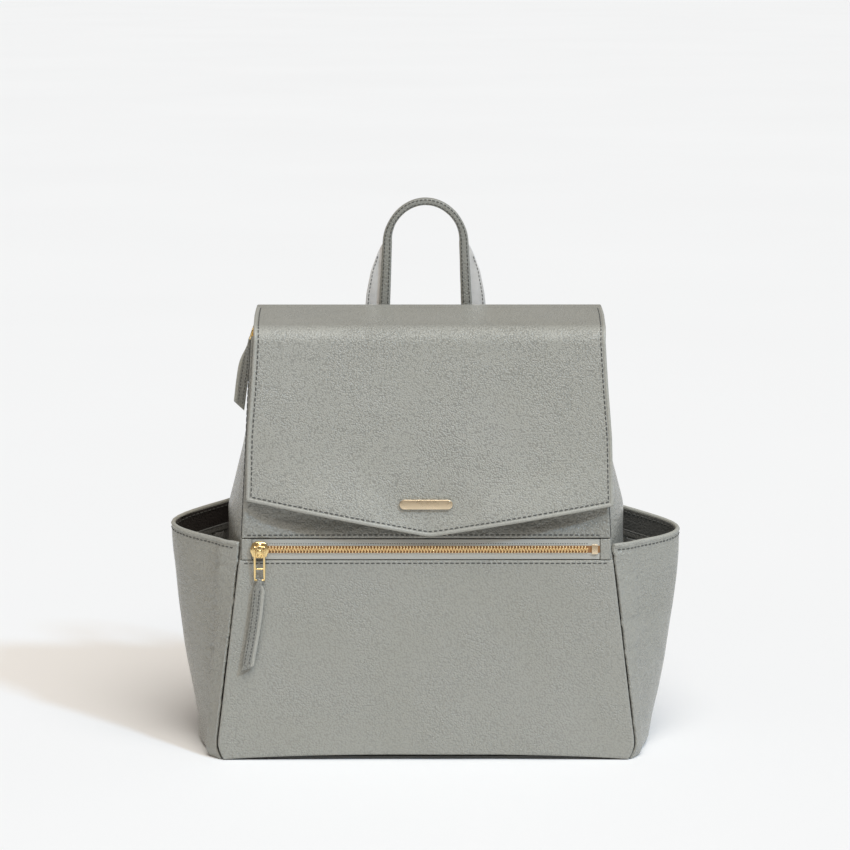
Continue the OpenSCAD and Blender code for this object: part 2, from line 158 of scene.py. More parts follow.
def wave(p, scale, seed=0.0):
    """Smooth noise, about -1 to 1, with features of size scale."""
    return noise.noise(Vector((p[0] / scale + seed, p[1] / scale, p[2] / scale - seed)))


# ---------------------------------------------------------------- materials

class Nodes:
    """A material's node tree, written shortly."""

    def __init__(self, name, roughness=0.5, metallic=0.0, specular=0.5, sheen=0.0):
        self.material = bpy.data.materials.new(name)
        self.material.use_nodes = True
        self.tree = self.material.node_tree
        self.shader = self.tree.nodes["Principled BSDF"]
        for socket, value in (("Roughness", roughness), ("Metallic", metallic),
                              ("Specular IOR Level", specular), ("Sheen Weight", sheen)):
            self.shader.inputs[socket].default_value = value
        self.place = self.add("ShaderNodeTexCoord").outputs["Object"]

    def add(self, kind, **settings):
        n = self.tree.nodes.new(kind)
        for key, value in settings.items():
            if key in n.inputs:
                n.inputs[key].default_value = value
            else:
                setattr(n, key, value)
        return n

    def link(self, a, b):
        self.tree.links.new(a, b)

    def noise(self, scale, detail=3.0):
        n = self.add("ShaderNodeTexNoise", Scale=scale, Detail=detail, Roughness=0.55)
        self.link(self.place, n.inputs["Vector"])
        return n.outputs["Fac"]

    def ramp(self, value, stops):
        n = self.add("ShaderNodeValToRGB")
        while len(n.color_ramp.elements) < len(stops):
            n.color_ramp.elements.new(0.5)
        for e, (at, c) in zip(n.color_ramp.elements, stops):
            e.position = at
            e.color = (*c, 1) if hasattr(c, "__len__") else (c, c, c, 1)
        self.link(value, n.inputs["Fac"])
        return n.outputs["Color"]

    def math(self, how, a, b):
        n = self.add("ShaderNodeMath", operation=how)
        for i, v in enumerate((a, b)):
            if isinstance(v, (int, float)):
                n.inputs[i].default_value = v
            else:
                self.link(v, n.inputs[i])
        return n.outputs[0]

    def blend(self, fac, a, b, how="MIX"):
        n = self.add("ShaderNodeMix", data_type="RGBA", blend_type=how)
        for i, v in ((0, fac), (6, a), (7, b)):
            if isinstance(v, (int, float)):
                n.inputs[i].default_value = v
            elif hasattr(v, "is_linked"):
                self.link(v, n.inputs[i])
            else:
                n.inputs[i].default_value = (*v, 1)
        return n.outputs[2]

    def bump(self, height, distance, after=None):
        n = self.add("ShaderNodeBump", Strength=1.0, Distance=distance)
        self.link(height, n.inputs["Height"])
        if after is not None:
            self.link(after, n.inputs["Normal"])
        return n.outputs["Normal"]

    def finish(self, colour, roughness=None, normal=None):
        for value, name in ((colour, "Base Color"), (roughness, "Roughness"), (normal, "Normal")):
            if value is not None:
                self.link(value, self.shader.inputs[name])
        return self.material


def shade(colour, k):
    """The colour k times as bright, no channel over 1."""
    return tuple(min(1.0, c * k) for c in colour)


def leather(name, colour, grain=1.6 * MM, depth=0.42 * MM, roughness=0.36, wear_and_highlight=1.06, crease=0.0,
            pit=0.86):
    """Pebbled leather: rounded grains with creases between them, soft wear and faint clouding. Its colour is
    darker in the creases, as painted shade, and lighter on the grain tops, partly wear and partly painted
    highlight.
    """
    m = Nodes(name, roughness=roughness, sheen=0.05)
    warp = m.add("ShaderNodeTexNoise", Scale=0.3 / grain, Detail=2.0)
    m.link(m.place, warp.inputs["Vector"])
    shift = m.add("ShaderNodeVectorMath", operation="SCALE")
    m.link(warp.outputs["Color"], shift.inputs[0])
    shift.inputs["Scale"].default_value = 0.9 * grain
    at = m.add("ShaderNodeVectorMath", operation="ADD")
    m.link(m.place, at.inputs[0])
    m.link(shift.outputs[0], at.inputs[1])
    cells = m.add("ShaderNodeTexVoronoi", feature="SMOOTH_F1", Scale=1 / grain, Smoothness=0.3)
    m.link(at.outputs[0], cells.inputs["Vector"])
    small = m.add("ShaderNodeTexVoronoi", feature="SMOOTH_F1", Scale=2.3 / grain, Smoothness=0.3)
    m.link(at.outputs[0], small.inputs["Vector"])
    pebble = m.ramp(cells.outputs["Distance"], ((0.0, 1.0), (0.4, 0.75), (0.8, 0.0)))
    minor = m.ramp(small.outputs["Distance"], ((0.0, 1.0), (0.7, 0.0)))
    fine = m.noise(3.0 / grain, detail=4.0)
    cloud = m.noise(12.0)
    press = m.ramp(m.noise(26.0, detail=2.0), ((0.35, 0.45), (0.65, 1.0)))
    # painted shade: the creases are darkened by pit; the grain tops are lightened, partly wear and partly
    # painted highlight
    base = m.blend(pebble, shade(colour, pit), shade(colour, wear_and_highlight))
    base = m.blend(m.math("MULTIPLY", fine, 0.18), base, shade(colour, 0.9))
    tint = m.ramp(cloud, ((0.3, (0.975, 0.972, 0.96)), (0.7, (1.02, 1.02, 1.03))))
    base = m.blend(1.0, base, tint, "MULTIPLY")
    rough = m.ramp(m.math("ADD", m.math("MULTIPLY", pebble, -0.5), m.math("MULTIPLY", fine, 0.6)),
                   ((0.0, roughness - 0.06), (0.5, roughness + 0.16)))
    height = m.math("ADD", pebble, m.math("MULTIPLY", minor, 0.35))
    height = m.math("ADD", m.math("MULTIPLY", height, press), m.math("MULTIPLY", fine, 0.25))
    normal = m.bump(height, depth)
    if crease:
        folds = m.noise(170.0)
        normal = m.bump(m.ramp(folds, ((0.35, 0.0), (0.6, 1.0))), crease, after=normal)
    return m.finish(base, rough, normal)


def woven(name, colour, thread=0.45 * MM, roughness=0.75, sheen=0.25, depth=0.08 * MM, shine=0.3):
    """Plain weave: two sets of crossing threads, along and across, with slubs and shade."""
    m = Nodes(name, roughness=roughness, specular=shine, sheen=sheen)
    rows = []
    for axis in ("X", "Y", "Z"):
        w = m.add("ShaderNodeTexWave", Scale=0.05 / (0.314 * thread), Distortion=0.6)
        w.bands_direction = axis
        m.link(m.place, w.inputs["Vector"])
        rows.append(w.outputs["Fac"])
    weave = m.math("MULTIPLY", m.math("ADD", rows[0], rows[1]), m.math("ADD", rows[2], 0.4))
    slub = m.noise(900.0, detail=2.0)
    cloud = m.noise(30.0)
    base = m.blend(m.math("MULTIPLY", weave, 0.5), shade(colour, 0.72), colour)
    base = m.blend(m.math("MULTIPLY", slub, 0.3), base, shade(colour, 1.2))
    base = m.blend(m.math("MULTIPLY", cloud, 0.3), base, shade(colour, 0.85))
    rough = m.ramp(slub, ((0.2, max(0.05, roughness - 0.1)), (0.8, min(1.0, roughness + 0.1))))
    return m.finish(base, rough, m.bump(m.math("ADD", weave, slub), depth))


def metal(name, colour, roughness=0.2):
    """Plated metal: polished, with faint brushing, smears and darker tone where it wears."""
    m = Nodes(name, roughness=roughness, metallic=1.0)
    smear = m.noise(160.0, detail=4.0)
    fine = m.noise(2600.0, detail=2.0)
    base = m.blend(m.math("MULTIPLY", smear, 0.35), colour, shade(colour, 0.82))
    rough = m.ramp(m.math("ADD", m.math("MULTIPLY", smear, 0.5), m.math("MULTIPLY", fine, 0.3)),
                   ((0.2, roughness * 0.7), (0.7, roughness * 1.7)))
    return m.finish(base, rough, m.bump(fine, 0.01 * MM))


def thread_material(name, colour):
    m = Nodes(name, roughness=0.7, specular=0.3, sheen=0.1)
    twist = m.noise(2500.0, detail=1.0)
    base = m.blend(twist, shade(colour, 0.75), shade(colour, 1.25))
    return m.finish(base, None, m.bump(twist, 0.05 * MM))


def board_material(name, colour):
    m = Nodes(name, roughness=0.7)
    fibres = m.noise(500.0, detail=5.0)
    base = m.blend(fibres, shade(colour, 0.7), colour)
    return m.finish(base, None, m.bump(fibres, 0.05 * MM))


GREY = (0.342, 0.339, 0.302)
# In the leathers below, pit darkens the creases between grains as painted shade, and the grain-top factor
# lightens the grain tops, partly wear and partly painted highlight.
LEATHER = leather("pebbled_leather", GREY)
LEATHER_SOFT = leather("soft_pebbled_leather", shade(GREY, 0.94), crease=0.45 * MM,
                       roughness=0.32, pit=0.7)
LEATHER_FLAP = leather("pebbled_leather_flap", shade(GREY, 1.10), grain=1.35 * MM,
                       depth=0.5 * MM, roughness=0.33, wear_and_highlight=1.16, pit=0.72)
# lighter than the body leather: partly the turned edge's own finish and partly painted highlight for the
# light that rolled edges catch
LEATHER_EDGE = leather("turned_edge_leather", shade(GREY, 1.16), depth=0.1 * MM,
                       grain=1.3 * MM, roughness=0.46)
LEATHER_SIDE = leather("side_leather", shade(GREY, 0.99), crease=0.4 * MM, roughness=0.30)
LEATHER_TAB = leather("tab_leather", shade(GREY, 0.78), grain=1.4 * MM, pit=0.7)
LEATHER_HANDLE = leather("handle_leather", shade(GREY, 0.92), grain=1.5 * MM, depth=0.4 * MM)
# painted shade: the base leather is made nearly black to stand for the shadow in the gap under the front's
# arched lower edge
LEATHER_BASE_PAINTED_SHADE = leather("base_leather_painted_shade", shade(GREY, 0.16))
# painted shade: a darker copy of the facing leather for the left pocket, whose inside lies in shade; the
# right pocket uses the grey facing
LEATHER_FACING_PAINTED_SHADE = leather("facing_leather", (0.034, 0.028, 0.025), roughness=0.4)
LEATHER_GREY_FACING = leather("facing_leather_grey", (0.130, 0.130, 0.124), roughness=0.42)
LINING = woven("satin_lining", (0.185, 0.18, 0.165), thread=0.3 * MM, roughness=0.30, shine=0.8)
TAPE = woven("zip_tape", (0.52, 0.515, 0.47), thread=0.5 * MM, roughness=0.7)
# painted light: the backing cloth is pale to stand for the brightly lit leather of the handle's flared feet
BACKING_PAINTED_LIGHT = woven("handle_backing_painted_light", (0.80, 0.785, 0.76), thread=0.5 * MM, roughness=0.8)
MESH = woven("strap_mesh_back", (0.20, 0.205, 0.195), thread=0.8 * MM, depth=0.3 * MM)
WEBBING = woven("strap_webbing", (0.27, 0.272, 0.255), thread=0.9 * MM, depth=0.2 * MM)
# painted shade: the cord under the teeth is dark warm brown to stand for the shade in the gaps between the
# teeth
BEAD_PAINTED_SHADE = woven("zip_bead_painted_shade", (0.36, 0.18, 0.07), thread=0.4 * MM)
GOLD = metal("pale_gold", (0.93, 0.70, 0.34), roughness=0.17)
GOLD_TEETH = metal("gold_teeth", (1.0, 0.76, 0.42), roughness=0.42)
GOLD_PALE = metal("champagne_gold", (0.90, 0.74, 0.52), roughness=0.28)
THREAD = thread_material("stitch_thread", (0.085, 0.085, 0.078))
BOARD = board_material("stiff_board", (0.03, 0.03, 0.03))


# ---------------------------------------------------------------- mesh building

def new_object(name, data):
    obj = bpy.data.objects.new(name, data)
    bpy.context.scene.collection.objects.link(obj)
    return obj


def mesh_object(name, points, faces, material, clean=True):
    """A smooth mesh. clean joins doubled points and turns every face outwards."""
    mesh = bpy.data.meshes.new(name)
    mesh.from_pydata([tuple(p) for p in points], [], faces)
    mesh.materials.append(material)
    obj = new_object(name, mesh)
    if clean:
        b = bmesh.new()
        b.from_mesh(mesh)
        bmesh.ops.remove_doubles(b, verts=b.verts, dist=1e-6)
        bmesh.ops.recalc_face_normals(b, faces=b.faces)
        b.to_mesh(mesh)
        b.free()
    mesh.polygons.foreach_set("use_smooth", [True] * len(mesh.polygons))
    return obj


def steps(count, length, r, low=True, high=True):
    """Places from 0 to 1 along a side of that length, close together within r of rounded ends."""
    near = [0.0, 0.04, 0.16, 0.36, 0.65, 1.0]
    lo = [n * r / length for n in near] if low else [0.0]
    hi = [1 - n * r / length for n in reversed(near)] if high else [1.0]
    a, b = lo[-1], hi[0]
    inner = [a + (b - a) * i / count for i in range(1, count)]
    return lo + inner + hi


def thick_sheet(name, middle, us, vs, size, t, material, r=None, rounded=(1, 1, 1, 1), inner=None):
    """A closed sheet of thickness t around the surface middle(u, v). Its edges are rounded over r:
    rounded says which of u=0, u=1, v=0 and v=1 are. size is its rough (width, height).
    inner is a second material for the face that looks away from the outside."""
    r = r or t / 2
    nu, nv = len(us), len(vs)
    mid = np.array([[middle(u, v) for u in us] for v in vs], float)
    du = np.gradient(mid, axis=1)
    dv = np.gradient(mid, axis=0)
    normal = np.cross(du, dv)
    normal /= np.linalg.norm(normal, axis=2, keepdims=True) + 1e-12
    depth = np.zeros((nv, nu))
    for j, v in enumerate(vs):
        for i, u in enumerate(us):
            ds = [d for d, on in ((u * size[0], rounded[0]), ((1 - u) * size[0], rounded[1]),
                                  (v * size[1], rounded[2]), ((1 - v) * size[1], rounded[3])) if on]
            depth[j, i] = min(ds)
    k = np.clip(depth / r, 0, 1)
    half = t / 2 * np.sqrt(np.clip(1 - (1 - k) ** 2, 0, 1))
    out = mid + normal * half[..., None]
    inn = mid - normal * half[..., None]
    points = np.concatenate([out.reshape(-1, 3), inn.reshape(-1, 3)])
    n = nu * nv
    faces = []
    for j in range(nv - 1):
        for i in range(nu - 1):
            a = j * nu + i
            faces.append((a, a + 1, a + nu + 1, a + nu))
    outer_count = len(faces)
    faces += [tuple(n + v for v in reversed(f)) for f in faces]
    for i in range(nu - 1):
        if not rounded[2]:
            faces.append((i, n + i, n + i + 1, i + 1))
        if not rounded[3]:
            a = (nv - 1) * nu + i
            faces.append((a, a + 1, n + a + 1, n + a))
    for j in range(nv - 1):
        if not rounded[0]:
            a = j * nu
            faces.append((a, a + nu, n + a + nu, n + a))
        if not rounded[1]:
            a = j * nu + nu - 1
            faces.append((a, n + a, n + a + nu, a + nu))
    obj = mesh_object(name, points, faces, material)
    if inner is not None:
        obj.data.materials.append(inner)
        # the faces keep their order, so the second lot is the inner side
        for p in obj.data.polygons:
            if outer_count <= p.index < 2 * outer_count:
                p.material_index = 1
    return obj


def sheet(name, middle, counts, size, t, material, r=None):
    """A thick sheet with counts (across, up) of steps between its edges, all four of them rounded."""
    r = r or t / 2
    return thick_sheet(name, middle, steps(counts[0], size[0], r), steps(counts[1], size[1], r), size,
                       t, material, r=r)


def mirrored(middle, side):
    """The surface with its outside away from the bag: its u runs backwards on the left."""
    return middle if side > 0 else (lambda u, v: middle(1 - u, v))


def capsules(name, pieces, material, sides=6):
    """Short rounded rods: each piece is (start, end, face normal, half width, half height)."""
    verts, faces = [], []
    rings = ((0.0, 0.45), (0.10, 0.85), (0.3, 1.0), (0.7, 1.0), (0.90, 0.85), (1.0, 0.45))
    for a, b, n, wide, high in pieces:
        along = (b - a).normalized()
        side = along.cross(n).normalized()
        up = side.cross(along).normalized()
        base = len(verts)
        for at, fat in rings:
            centre = a.lerp(b, at)
            for q in range(sides):
                t = 2 * math.pi * q / sides
                verts.append(centre + side * math.cos(t) * wide * fat + up * math.sin(t) * high * fat)
        for j in range(len(rings) - 1):
            for q in range(sides):
                w = (q + 1) % sides
                faces.append((base + j * sides + q, base + j * sides + w,
                              base + (j + 1) * sides + w, base + (j + 1) * sides + q))
        faces.append(tuple(base + q for q in reversed(range(sides))))
        faces.append(tuple(base + (len(rings) - 1) * sides + q for q in range(sides)))
    return mesh_object(name, verts, faces, material, clean=False)


def stitches(name, points, normals, pitch=4.4 * MM, length=3.1 * MM, r=0.55 * MM):
    """A row of stitches along a line of points that lies on a surface with those normals."""
    pts = [Vector(p) for p in points]
    run = runs(pts)
    pieces, k = [], 0
    for c in range(int(run[-1] / pitch)):
        s = (c + 0.5) * pitch
        while k < len(run) - 2 and run[k + 1] < s:
            k += 1
        f = (s - run[k]) / max(1e-9, run[k + 1] - run[k])
        p = pts[k].lerp(pts[k + 1], f)
        n = Vector(normals[k]).lerp(Vector(normals[k + 1]), f).normalized()
        along = (pts[k + 1] - pts[k]).normalized() * length / 2
        pieces.append((p - along, p + along, n, r, 0.7 * r))
    return capsules(name, pieces, THREAD)


def rounded_copy(node, material, slot, name=None, width=0.4 * MM):
    """A CAD node with its edges rounded over, which stands for the node."""
    source = frame["nodes"][node]
    mesh = source.data.copy()
    obj = new_object(name or node + "_finished", mesh)
    b = bmesh.new()
    b.from_mesh(mesh)
    bmesh.ops.remove_doubles(b, verts=b.verts, dist=1e-6)
    bmesh.ops.dissolve_limit(b, angle_limit=math.radians(1), verts=b.verts, edges=b.edges)
    sharp = [e for e in b.edges if len(e.link_faces) == 2
             and e.calc_face_angle(0) > math.radians(30)]
    bmesh.ops.bevel(b, geom=sharp, offset=width, segments=3, profile=0.6,
                    affect="EDGES", clamp_overlap=True)
    bmesh.ops.triangulate(b, faces=[f for f in b.faces if len(f.verts) > 4])
    b.to_mesh(mesh)
    b.free()
    mesh.materials.clear()
    mesh.materials.append(material)
    mesh.polygons.foreach_set("use_smooth", [True] * len(mesh.polygons))
    mesh.set_sharp_from_angle(angle=math.radians(38))
    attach(obj, source["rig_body"])
    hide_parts(node)
    return obj


def place(obj, body, slot, *nodes):
    """Rides obj on a body and hides the CAD nodes that it stands for. Its slot is not used."""
    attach(obj, body)
    if nodes:
        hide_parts(*nodes)
    return obj


def dress(node, material, slot):
    """A CAD node that stays gets a finished material."""
    o = frame["nodes"][node]
    o.data.materials.clear()
    o.data.materials.append(material)


# ---------------------------------------------------------------- the camera, the floor and the light

def camera_and_stage():
    distance, lens_px, elevation, azimuth = 2.4, 2817.0, math.radians(10), math.radians(-0.15)
    aim = Vector((-0.0007, 0, 0.2685))
    away = Vector((math.sin(azimuth) * math.cos(elevation),
                   -math.cos(azimuth) * math.cos(elevation), math.sin(elevation)))
    camera = new_object("camera", bpy.data.cameras.new("camera"))
    camera.data.sensor_width = 36
    camera.data.lens = 36 * lens_px / 850
    camera.location = aim + away * distance
    camera.rotation_euler = (-away).to_track_quat("-Z", "Y").to_euler()
    bpy.context.scene.camera = camera

    bpy.ops.mesh.primitive_circle_add(vertices=96, radius=60, fill_type="NGON")
    floor = bpy.context.object
    floor.name = "floor"
    m = Nodes("pale_floor", roughness=0.7, specular=0.05)
    m.finish(m.ramp(m.noise(0.8), ((0.3, 0.868), (0.7, 0.884))))
    floor.data.materials.append(m.material)

    world = bpy.data.worlds.new("studio")
    bpy.context.scene.world = world
    world.use_nodes = True
    tree = world.node_tree
    shown = tree.nodes["Background"]
    shown.inputs["Color"].default_value = (0.965, 0.963, 0.96, 1)
    lit = tree.nodes.new("ShaderNodeBackground")
    lit.inputs["Color"].default_value = (1.0, 0.90, 0.80, 1)
    lit.inputs["Strength"].default_value = 0.24
    rays = tree.nodes.new("ShaderNodeLightPath")
    pick = tree.nodes.new("ShaderNodeMixShader")
    tree.links.new(rays.outputs["Is Camera Ray"], pick.inputs["Fac"])
    tree.links.new(lit.outputs[0], pick.inputs[1])
    tree.links.new(shown.outputs[0], pick.inputs[2])
    tree.links.new(pick.outputs[0], tree.nodes["World Output"].inputs["Surface"])

    def sun(name, direction, strength, angle, colour):
        lamp = new_object(name, bpy.data.lights.new(name, "SUN"))
        lamp.data.energy = strength
        lamp.data.angle = math.radians(angle)
        lamp.data.color = colour
        lamp.rotation_euler = Vector(direction).to_track_quat("-Z", "Y").to_euler()

    sun("key", (-0.541, 0.463, -0.703), 0.80, 5.0, (0.62, 0.97, 1.36))
    sun("softbox", (-0.16, 0.40, -0.90), 2.5, 48, (1.0, 0.955, 0.895))
    bpy.context.scene.view_settings.view_transform = "Standard"
    bpy.context.scene.view_settings.look = "None"


# ---------------------------------------------------------------- shell

PANEL_ROUND = 1.6 * MM


def corner_in(z):
    """How far a panel's sides pull in near the floor."""
    reach = 17 * MM
    return 7.0 * MM * max(0.0, 1 - z / reach) ** 2


def front_sheet(name, z_low, z_high, node, puff, foot=lambda s: 0.0, recess=0.0, t=LEATHER_T,
                material=LEATHER):
    """A front panel of the body: puff is its swell, foot(s) lifts its lower edge at s across, and
    recess is how far it is pressed in. It also gives back the function of its middle surface."""
    size = (2 * seam_x((z_low + z_high) / 2), z_high - z_low)

    def middle(u, v):
        s = 2 * u - 1
        z = mix(z_low + foot(s), z_high, v)
        x = s * (seam_x(z) - corner_in(z))
        swell = puff * (1 - s * s) * math.sin(math.pi * clamp(v)) ** 0.8
        sink = recess * recess_at(z) * (1 - s ** 6)
        p = (x, front_y(z) + t / 2 - swell + sink, z)
        soft = 0.5 * MM * wave(p, 0.055)
        if recess:
            soft += 0.2 * MM * wave((x, z, 5), 0.015, 2.0) * (1 - s ** 6)
        return (p[0], p[1] + soft, p[2])

    obj = sheet(name, middle, (150 if recess else 90, 60), size, t, material, r=PANEL_ROUND)
    place(obj, "bag", "leather", node)
    return middle


def panels():
    lower_at = front_sheet("front_panel_leather", 0.4 * MM, PANEL_TOP, "front_panel", 1.4 * MM,
                           foot=lambda s: 4.0 * MM * (1 - abs(s) ** 3))
    t = 2.2 * MM
    upper_at = front_sheet("front_upper_leather", UPPER_FOOT, BODY_TOP, "front_upper_panel",
                           0.2 * MM, recess=4.6 * MM, t=t, material=LEATHER_SOFT)
    inset = 2.6 * MM

    def row(name, at, v, reach, out):
        pts = [Vector(at(0.5 + (i / 120 - 0.5) * reach, v)) + FRONT_OUT * out for i in range(121)]
        place(stitches(name, pts, [FRONT_OUT] * 121), "bag", "leather")

    row("stitches_below_zip", lower_at, 1 - inset / PANEL_TOP, 0.975, LEATHER_T / 2)
    row("stitches_above_zip", upper_at, inset / (BODY_TOP - UPPER_FOOT), 0.975, t / 2)
    rounded_copy("zip_facings", LEATHER, "leather", width=0.8 * MM)
    # the base panel is nearly black as painted shade for the gap under the front
    rounded_copy("base_panel", LEATHER_BASE_PAINTED_SHADE, "leather", width=0.8 * MM)


def side_panel(side, word):
    surface = Outside("gusset_" + word, side)
    depth = (surface.high.y - surface.low.y, BODY_TOP)
    back_y = surface.high.y

    def middle(u, v):
        z = BODY_TOP * v
        y = mix(front_y(z) + LEATHER_T + 0.3 * MM, back_y, u)
        x = surface.x(min(max(y, front_y(z) + LEATHER_T + 0.4 * MM), back_y - 0.1 * MM),
                      min(max(z, 0.2 * MM), BODY_TOP - 0.2 * MM)) or seam_x(z)
        x += 0.7 * MM * wave((y, z, 0), 0.04, side) - LEATHER_T / 2 - corner_in(z)
        return (side * x, y, z)

    obj = sheet("side_panel_" + word, mirrored(middle, side), (34, 60), depth, LEATHER_T, LEATHER_SIDE,
                r=PANEL_ROUND)
    place(obj, "bag", "leather", "gusset_" + word)


POCKET_DEPTH = 147 * MM  # front to back
POCKET_RUN = 0.19        # along the curved leather, roughly
POCKET_INNER_RUN = 0.15  # along the facing, elastic and lining, roughly


def pocket(side, word):
    """The outer leather of a side pocket with its turned rim, facing, elastic and lining."""
    surface = Outside("pocket_" + word, side)
    t = 2.5 * MM
    y_back = surface.high.y
    corners = [v.co for v in frame["nodes"]["pocket_" + word].data.vertices]
    cad_front = max(c.z for c in corners if c.y < front_y(c.z) + LEATHER_T + 1 * MM)
    cad_back = surface.high.z
    droop = 0.5 * MM if side < 0 else 3.5 * MM
    rim_front, rim_back = cad_front - droop * 0.6, cad_back - droop + (3 * MM if side < 0 else 0)

    def rim(u):
        return mix(rim_front, rim_back, u) - (2.5 * MM + droop * 0.5) * math.sin(math.pi * u)

    def outer_x(y, z):
        y = min(max(y, front_y(z) + LEATHER_T + 0.5 * MM), y_back - 0.3 * MM)
        for dz in (0.0, -0.003, -0.006, -0.010, -0.016):
            x = surface.x(y, max(0.3 * MM, z + dz))
            if x is not None:
                return x
        return seam_x(z)

    def wrinkle(u, z):
        k = clamp(z / rim_back)
        depth = u * POCKET_DEPTH
        near_front = math.exp(-((depth - 0.013) / 0.017) ** 2)
        near_back = math.exp(-((1 - u) / 0.12) ** 2)
        fold = 0.5 - 2 * abs(noise.noise(Vector((u * 7.0, z / 0.0085, side * 3.1))))
        wide = noise.noise(Vector((u * 3.1, z / 0.045, side * 7.7)))
        ridge = 5.6 * MM * math.exp(-((depth - 0.010) / 0.006) ** 2) * (0.8 + 0.5 * wide)
        high = 0.5 + 0.9 * k
        return (1.3 * MM * fold * high * (near_front + 0.6 * near_back)
                + 1.6 * MM * wide * math.sin(math.pi * u) + ridge * math.sin(math.pi * min(u, 1 - u)) ** 0.2)

    def tuck(z):
        reach = 8 * MM
        full = (3.5 * MM if side < 0 else 0.0) * max(0.0, 1 - max(0.0, z) / (22 * MM))
        if z >= reach:
            return -full
        k = 1 - max(0.0, z) / reach
        return 5.0 * MM * (1 - math.sqrt(max(0.0, 1 - k * k))) - full

    def middle_at(z_of):
        def middle(u, v):
            z = z_of(u, v)
            y = mix(front_y(z) + LEATHER_T + 0.3 * MM, y_back, u)
            x = outer_x(y, z) - t / 2 + wrinkle(u, z) - tuck(z) * math.sin(math.pi * u) ** 0.5
            x -= corner_in(z) * math.exp(-u / 0.10)
            return (side * max(x, seam_x(z) - corner_in(z) - 2 * MM), y, z)
        return middle

    def build(name, middle, cu, cv, size, thick, material, r=None):
        return sheet(name, mirrored(middle, side), (cu, cv), size, thick, material, r=r)

    def line(z_of, lift):
        """Points along the pocket at a height, lifted off the leather's middle, with normals."""
        pts, nrm = [], []
        at = middle_at(z_of)
        for i in range(120):
            u = mix(0.02, 0.98, i / 119)
            here, ahead = Vector(at(u, 0)), Vector(at(u + 0.01, 0))
            n = (ahead - here).cross(Vector((0, 0, 1))).normalized()
            n = -n if n.x * side < 0 else n
            pts.append(here + n * lift)
            nrm.append(n if lift > 0 else -n)
        return pts, nrm

    size = (POCKET_RUN, rim_back)
    leather_piece = build("pocket_leather_" + word, middle_at(lambda u, v: mix(0.4 * MM, rim(u), v)),
                          120, 150, size, t, LEATHER_SIDE)
    place(leather_piece, "bag", "leather", "pocket_" + word)

    # the rim: a folded binding that sits over the leather's edge
    fold_h = 3.0 * MM
    rim_middle = middle_at(lambda u, v: mix(rim(u) - fold_h, rim(u) + 1.0 * MM, v))
    rim_piece = build("pocket_rim_" + word, rim_middle, 90, 5, (POCKET_RUN, fold_h), t + 1.3 * MM,
                      LEATHER_EDGE, r=1.6 * MM)
    place(rim_piece, "bag", "leather")
    for where, lift, down in (("outside", t / 2 + 0.1 * MM, 4.4 * MM),
                              ("inside", -t / 2 - 1.0 * MM, 4.0 * MM)):
        pts, nrm = line(lambda u, v: rim(u) - down, lift)
        place(stitches(f"pocket_stitches_{where}_{word}", pts, nrm), "bag", "leather")

    facing_h, elastic_h = 20 * MM, 5 * MM

    def along(u):
        return mix(0.08, 0.92, u)

    def gathered(inset, z_of, depth, waves):
        def middle(u, v):
            z = z_of(u, v)
            k = along(u)
            y = mix(front_y(z) + LEATHER_T + 0.3 * MM, y_back, k)
            fade = mix(0.35, 1.0, v ** 2)
            ripple = depth * fade * (math.sin(waves * 2 * math.pi * u + 2.5 * math.sin(9 * u))
                                     + 0.6 * wave((u, z * 8, 1), 0.05))
            x = outer_x(y, z) - t - inset + wrinkle(k, z) - ripple
            return (side * x, y, z)
        return middle

    def top(u):
        return rim(along(u))

    # the left pocket gets the darker facing as painted shade
    inside_leather = LEATHER_FACING_PAINTED_SHADE if side < 0 else LEATHER_GREY_FACING
    facing = build(f"pocket_facing_{word}_leather",
                   gathered(0.7 * MM, lambda u, v: mix(top(u) - facing_h, top(u) - 0.8 * MM, v), 0, 0),
                   60, 8, (POCKET_INNER_RUN, facing_h), 1.0 * MM, inside_leather)
    place(facing, "bag", "leather_dark", "pocket_facing_" + word)
    piping = build(f"pocket_piping_{word}",
                   gathered(1.5 * MM, lambda u, v: top(u) - facing_h - mix(0.9 * MM, -0.9 * MM, v), 0, 0),
                   60, 3, (POCKET_INNER_RUN, 1.8 * MM), 1.8 * MM, LEATHER_GREY_FACING)
    place(piping, "bag", "leather")
    elastic = build(f"pocket_elastic_{word}_band",
                    gathered(1.5 * MM, lambda u, v: mix(top(u) - facing_h - elastic_h,
                                                       top(u) - facing_h - 0.5 * MM, v),
                             0.4 * MM, 34), 200, 5, (POCKET_INNER_RUN, elastic_h), 1.4 * MM, LINING)
    place(elastic, "bag", "elastic", "pocket_elastic_" + word)
    lining = build(f"pocket_lining_{word}_cloth",
                   gathered(2.6 * MM, lambda u, v: mix(9 * MM, top(u) - facing_h - elastic_h
                                                      - 0.3 * MM, v), 2.3 * MM, 13),
                   200, 30, (POCKET_INNER_RUN, 0.15), 0.7 * MM, LINING)
    place(lining, "bag", "lining", "pocket_lining_" + word)


# ---------------------------------------------------------------- flap

FLAP_LO, FLAP_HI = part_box("flap_front_leather")
TOP_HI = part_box("flap_top_leather")[1]
ANCHOR_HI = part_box("flap_anchor_strip")[1]
BADGE_MID = (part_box("badge")[0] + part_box("badge")[1]) / 2


